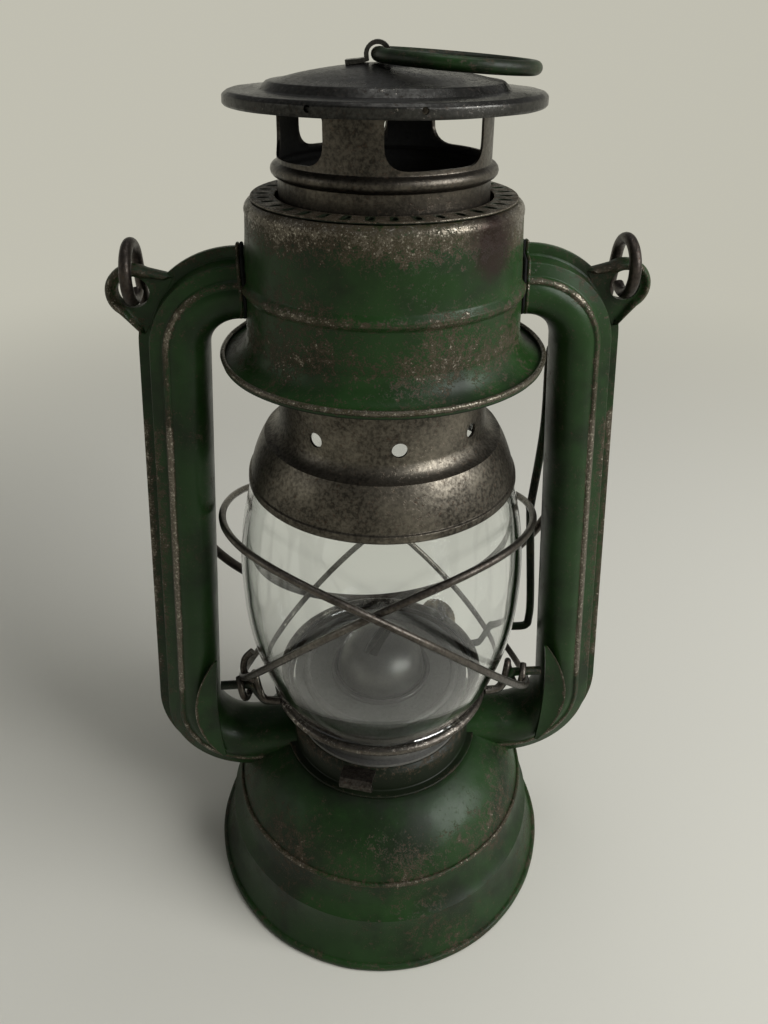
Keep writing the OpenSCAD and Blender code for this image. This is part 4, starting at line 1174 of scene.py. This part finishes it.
# Camera at the photograph's place
view = {"place": (0.0, -0.23853, 0.29579), "pitch": 22.53, "roll": 0.444, "yaw": 0.077, "turn": -4.2,
        "focal": 821.04, "centre": (384.0, 362.0), "frame": (768.0, 1024.0), "sensor": 36.0, "clip": 0.01}


def makeCamera():
    pitch, roll, yaw, turn = (radians(view[k]) for k in ("pitch", "roll", "yaw", "turn"))
    forward = Vector((sin(yaw) * cos(pitch), cos(yaw) * cos(pitch), -sin(pitch)))
    right = Vector((cos(yaw), -sin(yaw), 0))
    up = right.cross(forward)
    right, up = right * cos(roll) + up * sin(roll), up * cos(roll) - right * sin(roll)
    spin = Matrix.Rotation(turn, 3, "Z")
    right, up, forward = spin @ right, spin @ up, spin @ forward
    wide, high = view["frame"]
    data = bpy.data.cameras.new("photoCamera")
    data.sensor_fit = "AUTO"
    data.sensor_width = view["sensor"]
    data.lens = view["focal"] * view["sensor"] / high
    data.shift_x = (wide / 2 - view["centre"][0]) / high
    data.shift_y = (view["centre"][1] - high / 2) / high
    data.clip_start = view["clip"]
    scene.camera = addObject("photoCamera", data)
    pose = Matrix((right, up, -forward)).transposed().to_4x4()
    pose.translation = spin @ Vector(view["place"])
    scene.camera.matrix_world = pose


# Floor with a cove, and light; the far floor shows its own plain tone to the camera, glass and metal
studio = {"floor": (0.67, 0.66, 0.59, 1), "rough": 0.6, "far": (0.53, 0.517, 0.44, 1), "near": 0.25,
          "away": 0.8, "cove": ((0.5, 0.0), (3.0, 0.0), (3.6, 0.1), (4.0, 0.4), (4.2, 1.6)), "coveSteps": 64,
          "sky": (0.80, 0.80, 0.78, 1), "skyPower": 0.19, "aim": (0, 0, 0.15),
          "lamps": [("windowLight", (0.90, -0.50, 0.75), 0.8, 16.5),
                    ("sideLight", (-0.95, -0.20, 0.50), 0.5, 0.5),
                    ("topLight", (0.10, 0.10, 1.15), 0.5, 1.6)]}


def makeFloor():
    cove, steps = studio["cove"], studio["coveSteps"]
    turns = [360 * i / steps for i in range(steps)]
    points = [(x, y, z) for r, z in cove for x, y in arc((0, 0), r, turns)]
    mesh = bpy.data.meshes.new("floor")
    mesh.from_pydata(points, [], [tuple(range(steps))] + [face[::-1] for face in ringFaces(len(cove), steps)])
    mesh.shade_smooth()
    made, place = startMaterial("paleFloor")
    floorShade = shade(made, {"Base Color": studio["floor"], "Roughness": studio["rough"]})
    away = addNode("ShaderNodeVectorMath", {0: place}, operation="LENGTH")["Value"]
    tree = made.node_tree
    ray = addNode("ShaderNodeLightPath", {}, tree)
    seen = calc("ADD", calc("ADD", ray["Is Camera Ray"], ray["Is Glossy Ray"]),
                ray["Is Transmission Ray"], True)
    plain = addNode("ShaderNodeEmission", {"Color": studio["far"], "Strength": 1.0}, tree)[0]
    factor = times(seen, step(away, studio["near"], studio["away"]))
    blend = addNode("ShaderNodeMixShader", {0: factor, 1: floorShade, 2: plain})[0]
    put(tree.nodes["Material Output"].inputs["Surface"], blend)
    mesh.materials.append(made)
    floor = addObject("floor", mesh)


def makeLight():
    world = bpy.data.worlds.new("studioSky")
    world.use_nodes = True
    sky = world.node_tree.nodes["Background"]
    sky.inputs["Color"].default_value = studio["sky"]
    sky.inputs["Strength"].default_value = studio["skyPower"]
    scene.world = world
    for name, spot, size, power in studio["lamps"]:
        data = bpy.data.lights.new(name, "AREA")
        data.size = size
        data.energy = power
        lamp = addObject(name, data)
        lamp.location = spot
        lamp.rotation_euler = (Vector(studio["aim"]) - Vector(spot)).to_track_quat("-Z", "Y").to_euler()


makeCamera()
makeFloor()
makeLight()
scene.view_settings.view_transform = "Standard"
print("scene ready")
